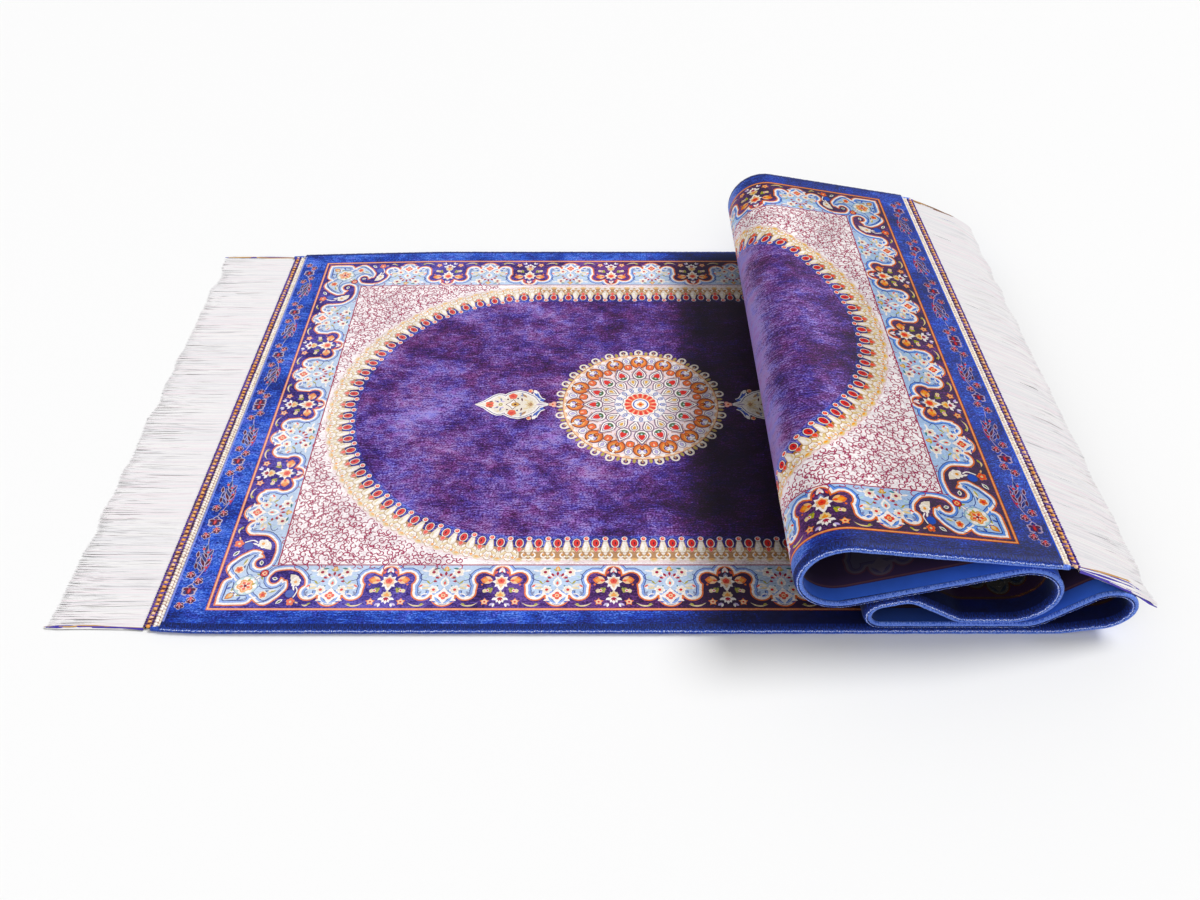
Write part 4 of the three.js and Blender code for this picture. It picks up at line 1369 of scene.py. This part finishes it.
class Look:
    """A material, and short ways to add nodes to it. Values may be numbers or nodes' sockets."""

    def __init__(self, name, roughness, sheen=0.0, sheen_tint=(1, 1, 1, 1)):
        self.material = bpy.data.materials.new(name)
        self.material.use_nodes = True
        self.tree = self.material.node_tree
        self.shader = self.tree.nodes["Principled BSDF"]
        values = {"Roughness": roughness, "Sheen Weight": sheen, "Sheen Roughness": 0.4}
        values |= {"Sheen Tint": sheen_tint, "Specular IOR Level": 0.25}
        for label, value in values.items():
            self.shader.inputs[label].default_value = value

    def math(self, operation, *values):
        return add(self.tree, "ShaderNodeMath", dict(enumerate(values)), operation=operation).outputs[0]

    def ranged(self, value, start, end, first, last):
        """A number that goes from first to last while the value goes from start to end."""
        limits = {"Value": value, "From Min": start, "From Max": end, "To Min": first, "To Max": last}
        return add(self.tree, "ShaderNodeMapRange", limits).outputs["Result"]

    def mix(self, blend, factor, a, b):
        inputs = {0: factor, 6: a, 7: b}
        return add(self.tree, "ShaderNodeMix", inputs, data_type="RGBA", blend_type=blend).outputs[2]

    def ramp(self, value, stops):
        node = add(self.tree, "ShaderNodeValToRGB", {"Fac": value})
        elements = node.color_ramp.elements
        while len(elements) < len(stops):
            elements.new(0.5)
        for element, (place, colour) in zip(elements, stops):
            element.position = place
            element.color = linear(colour)
        return node.outputs["Color"]

    def curve(self, value, places):
        """A smooth function through these places, less 0.5."""
        node = add(self.tree, "ShaderNodeFloatCurve", {"Value": value})
        points = node.mapping.curves[0].points
        for place in places[1:-1]:
            points.new(*place)
        points[0].location, points[len(places) - 1].location = places[0], places[-1]
        node.mapping.update()
        return self.math("SUBTRACT", node.outputs[0], 0.5)

    def cloth(self, across=1.0, along=1.0, offset=0.0):
        """Cloth coordinates, scaled across the rug and along it."""
        uv = add(self.tree, "ShaderNodeUVMap", uv_map="Cloth").outputs["UV"]
        inputs = {"Vector": uv, "Location": (offset, offset, offset), "Scale": (along, across, 1)}
        return add(self.tree, "ShaderNodeMapping", inputs).outputs["Vector"]

    def place(self):
        """Distance along the rug, place across it or height on its side, both in metres, and a nought."""
        return add(self.tree, "ShaderNodeSeparateXYZ", {0: self.cloth()}).outputs

    def noise(self, across, along, scale, detail, roughness, distortion=0.0, offset=0.0):
        values = {"Vector": self.cloth(across, along, offset), "Scale": scale, "Detail": detail}
        values |= {"Roughness": roughness, "Distortion": distortion}
        return add(self.tree, "ShaderNodeTexNoise", values).outputs["Fac"]

    def nap(self):
        """Gives the pile its bumps. Returns its light and dark, about 0.5."""
        patches, grain = self.noise(1, 0.7, 42, 5, 0.72, 0.5), self.noise(1.5, 1, 480, 2, 0.7)
        broad, streaks = self.noise(1, 0.8, 9, 3, 0.6, 0.6), self.noise(7, 1, 80, 3, 0.7)
        parts = [(0.45, broad), (0.55, patches), (0.5, streaks), (0.8, grain)]
        light = 0.5 - sum(weight for weight, _ in parts) / 2
        for weight, part in parts:
            light = self.math("MULTIPLY_ADD", part, weight, light)
        height = self.math("MULTIPLY_ADD", patches, 1.5, grain)
        bump = add(self.tree, "ShaderNodeBump", {"Strength": 0.35, "Distance": 0.0008, "Height": height})
        self.tree.links.new(bump.outputs["Normal"], self.shader.inputs["Normal"])
        return light

    def lean(self):
        """The painted shade and sheen added to the pile's light along the rug: shadow beside and inside the
        folds, sheen on the flap's crest.
        """
        whole = CLOTH_LENGTH * MM
        share = self.math("DIVIDE", self.place()[0], whole)
        return self.curve(share, [(min(1, place / whole), 0.5 + value) for place, value in PAINTED_LIGHT_ALONG])

    def along_rug(self, start, end, first, last):
        """A value that changes between two distances from the rug's left end, in metres."""
        return self.ranged(self.place()[0], start, end, first, last)

    def flap_shade(self):
        return self.along_rug(1.6, 1.72, 1.0, 0.92)

    def pile_shade(self, light):
        """How bright the pile looks with the nap and with the painted shade and sheen along the rug, 1 being
        plain.
        """
        light = self.math("MULTIPLY_ADD", light, 0.5, 0.25)
        return self.ranged(self.math("ADD", light, self.lean()), 0.0, 0.9, 0.03, 1.6)

    def tint(self):
        return add(self.tree, "ShaderNodeAttribute", attribute_name="Tint").outputs["Color"]

    def shaded(self, colour, shade):
        grey = add(self.tree, "ShaderNodeCombineColor", {0: shade, 1: shade, 2: shade}).outputs[0]
        return self.mix("MULTIPLY", 1.0, colour, grey)

    def painted(self, colour):
        """The finished material, with this base colour."""
        self.tree.links.new(colour, self.shader.inputs["Base Color"])
        return self.material


def motif_pile():
    """Pile dyed in the colour of its face, less saturated at the left end and more towards the right, and
    darkened by the painted shade along the rug and on the flap.
    """
    look = Look("pile_motif", 0.8, 0.1)
    shade = look.pile_shade(look.nap())
    values = {"Color": look.tint(), "Value": look.flap_shade()}
    values |= {"Saturation": look.along_rug(0.1, 1.7, 0.9, 1.3)}
    dyed = add(look.tree, "ShaderNodeHueSaturation", values).outputs["Color"]
    return look.painted(look.shaded(dyed, shade))


def silky_pile(name, stops, other_stops, rarity, sheen=(0.85, 0.6, 1, 1)):
    """Plain pile whose colour runs from dark to light with the nap and with the painted shade and sheen along
    the rug, and here and there to other colours. A painted shade darkens the strip along the front edge, more
    on the flap."""
    look = Look(name, 0.6, 0.15, sheen)
    # Painted shade along the front edge, stronger on the flap.
    front = look.ranged(look.place()[1], -0.284, -0.274, -0.08, 0.0)
    front = look.math("MULTIPLY", front, look.along_rug(1.4, 1.5, 1.0, 1.3))
    light = look.math("ADD", look.math("ADD", look.nap(), front), look.lean())
    where = look.noise(1, 0.7, 14, 9, 0.8, 0.4, offset=5.0)
    share = look.ranged(where, rarity, rarity + 0.14, 0.0, 0.85)
    colour = look.mix("MIX", share, look.ramp(light, stops), look.ramp(light, other_stops))
    tinge = look.noise(1, 0.8, 90, 2, 0.6, offset=9.0)
    dyes = look.ramp(tinge, [(0.38, 0xB85A90), (0.5, 0xBCBCBC), (0.62, 0x6E94D8)])
    return look.painted(look.mix("SOFT_LIGHT", 0.5, colour, dyes))


def shades(*colours):
    """Stops for plain pile, from its darkest colour to its lightest."""
    return list(zip((0.24, 0.4, 0.49, 0.57, 0.68), colours))


def border_ground():
    """The ground of the flowery border: wine, turned blue violet at the left end by a painted sheen, and
    darkened by the painted shade along the rug.
    """
    look = Look("pile_border", 0.65, 0.2, (0.8, 0.7, 1, 1))
    light = look.math("ADD", look.nap(), look.lean())
    # Painted sheen: the blue violet that the wine ground takes at the left end.
    violet = look.ramp(light, [(0.34, 0x1C0F4A), (0.5, 0x3E2C84), (0.66, 0x6D62C0)])
    wine = look.ramp(light, [(0.34, 0x1E0628), (0.5, 0x421352), (0.66, 0x7A3C88)])
    return look.painted(look.mix("MIX", look.along_rug(0.2, 0.45, 0.0, 1.0), violet, wine))


def thread_pile():
    """Pale pile between the drawn curls, with finer crimson tendrils, darkened by the painted shade along the
    rug and on the flap.
    """
    look = Look("pile_tendrils", 0.8, 0.1)
    light = look.nap()
    curls = look.noise(1, 1, 150, 0.5, 0.4, 1.1)
    away = look.math("ABSOLUTE", look.math("SUBTRACT", curls, 0.5))
    lines = look.ranged(away, 0.006, 0.018, 0.3, 0.0)
    ground = look.ramp(light, [(0.3, 0xEEE0E6), (0.6, 0xFFF8F8)])
    colour = look.mix("MIX", lines, ground, linear(0xB0466E))
    shade = look.math("MULTIPLY", look.pile_shade(light), look.flap_shade())
    return look.painted(look.shaded(colour, shade))


def pile_edge():
    """The sides of the pile: blue like its face above, with a painted highlight of pale sparkles on the
    outermost bulge and painted shade in the crease over the binding.
    """
    look = Look("pile_edge", 0.6, 0.08, (0.7, 0.8, 1, 1))
    specks = look.noise(1.4, 1, 1000, 2, 0.65)
    painted_edge_light = look.curve(look.math("MULTIPLY", look.place()[1], 1 / EDGE_SPAN), EDGE_PAINTED_LIGHT)
    stops = [(0.2, 0x0A1440), (0.4, 0x14308C), (0.52, 0x2A54C0), (0.6, 0x5C86EA), (0.67, 0xF0F4FF)]
    return look.painted(look.ramp(look.math("ADD", specks, painted_edge_light), stops))


def binding_yarn():
    """Blue yarn with painted light: darker along the left end, brighter round the folds."""
    look = Look("binding_yarn", 0.7, 0.2, (0.75, 0.82, 1, 1))
    fibres = look.noise(1, 1, 900, 2, 0.6)
    light = look.math("ADD", fibres, look.along_rug(0.5, 0.75, -0.16, 0.05))
    return look.painted(look.ramp(light, [(0.3, 0x1C3A98), (0.5, 0x466EDC), (0.72, 0x92B2FA)]))


def tinted_yarn(name, roughness):
    look = Look(name, roughness, 0.1)
    return look.painted(look.tint())


def backing_cloth():
    """Ground weave, where the pile's colours show dulled. Painted light and shade: it is brightest at the
    edges, where light reaches into the hollows of the folds, darker towards the middle, and dark in the small
    fold."""
    look = Look("backing_cloth", 0.85, 0.1)
    along, across, _ = look.place()
    edge = look.ranged(look.math("ABSOLUTE", across), 0.266, 0.298, 0.6, 1.8)
    into_fold, out_of_fold = look.ranged(along, 1.0, 1.06, 1.0, 0.0), look.ranged(along, 1.14, 1.3, 0.3, 1.0)
    patches = look.ranged(look.noise(1, 1, 30, 3, 0.6), 0.0, 1.0, 0.7, 1.1)
    fold = look.math("MAXIMUM", out_of_fold, into_fold)
    shade = look.math("MULTIPLY", look.math("MULTIPLY", patches, edge), fold)
    return look.painted(look.shaded(look.tint(), shade))


# --------------------
# Floor, light and camera.
# --------------------
CAMERA_X = 0.0105
CAMERA_DISTANCE = 0.5074  # from the front edge
CAMERA_HEIGHT = 0.7359
CAMERA_TILT = 45.248  # degrees from straight down
CAMERA_LENS = 29.577


def stage():
    floor = new_object("floor", bpy.data.meshes.new("floor"))
    reach = 6
    corners = [(-reach, -reach, 0), (reach, -reach, 0), (reach, reach, 0), (-reach, reach, 0)]
    floor.data.from_pydata(corners, [], [(0, 1, 2, 3)])
    look = Look("floor", 0.9)
    look.shader.inputs["Base Color"].default_value = (0.86, 0.86, 0.86, 1)
    floor.data.materials.append(look.material)


def sun(name, direction, strength, spread):
    """Even light that falls in a direction. spread is its softness in degrees."""
    data = bpy.data.lights.new(name, "SUN")
    data.energy = strength
    data.angle = math.radians(spread)
    new_object(name, data).rotation_euler = Vector(direction).to_track_quat("-Z", "Y").to_euler()


def lights():
    sun("key", (-0.8, -0.3, -1.0), 2.4, 22)
    sun("fill", (0.4, 0.9, -0.8), 0.7, 60)
    world = bpy.data.worlds.new("studio")
    world.use_nodes = True
    background = world.node_tree.nodes["Background"]
    background.inputs["Color"].default_value = (1, 1, 1, 1)
    seen = add(world.node_tree, "ShaderNodeLightPath").outputs["Is Camera Ray"]
    strength = add(world.node_tree, "ShaderNodeMapRange", {"Value": seen, "To Min": 0.42, "To Max": 1.0})
    world.node_tree.links.new(strength.outputs["Result"], background.inputs["Strength"])
    bpy.context.scene.world = world


def camera():
    data = bpy.data.cameras.new("camera")
    data.lens = CAMERA_LENS
    data.sensor_width = 36
    data.clip_start = 0.01
    viewer = new_object("camera", data)
    viewer.location = (CAMERA_X, -HALF_WIDTH * MM - CAMERA_DISTANCE, CAMERA_HEIGHT)
    viewer.rotation_euler = (math.radians(CAMERA_TILT), 0, 0)
    bpy.context.scene.camera = viewer


def main():
    scene = bpy.context.scene
    scene.view_settings.view_transform = "Standard"
    stage()
    lights()
    camera()
    violet = shades(0x12031C, 0x2E0C48, 0x442076, 0x63469C, 0x9C8CD4)
    magenta = shades(0x140218, 0x320C40, 0x5A2068, 0x784488, 0xA88AC4)
    blue = shades(0x060E3C, 0x0E2880, 0x1A42A8, 0x3262CE, 0x7094EC)
    # Painted sheen: the lighter blues that the plain blue pile takes here and there.
    blue_sheen = shades(0x0C1A50, 0x1C3688, 0x3458B8, 0x5A80DC, 0xA8C0FA)
    halo = shades(0x0C0828, 0x241C5C, 0x3A3492, 0x5058B8, 0x8494E8)
    materials = [
        motif_pile(),
        silky_pile("pile_blue", blue, blue_sheen, 0.56, (0.4, 0.6, 1, 1)),
        silky_pile("pile_violet", violet, magenta, 0.45),
        silky_pile("pile_halo", halo, violet, 0.5),
        thread_pile(),
        border_ground(),
    ]
    pieces = pile(materials)
    sheet = backing(backing_cloth())
    rng = np.random.default_rng(7)
    edge, yarn = pile_edge(), binding_yarn()
    strand, stitch = tinted_yarn("fringe_yarn", 0.75), tinted_yarn("stitch_yarn", 0.7)
    for side, name in ((-1, "binding_front"), (1, "binding_back")):
        pieces += [pile_side(side, edge), tufts(side, edge, rng)]
        cord = binding(side, yarn)
        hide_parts(name)
        pieces.append(cord)
    for at_left, name in ((True, "fringe_left"), (False, "fringe_right")):
        pieces.append(kilim(at_left, [stitch], rng))
        strands = fringe(at_left, strand, rng)
        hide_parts(name)
        pieces.append(strands)
    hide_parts("rug_cloth")


main()
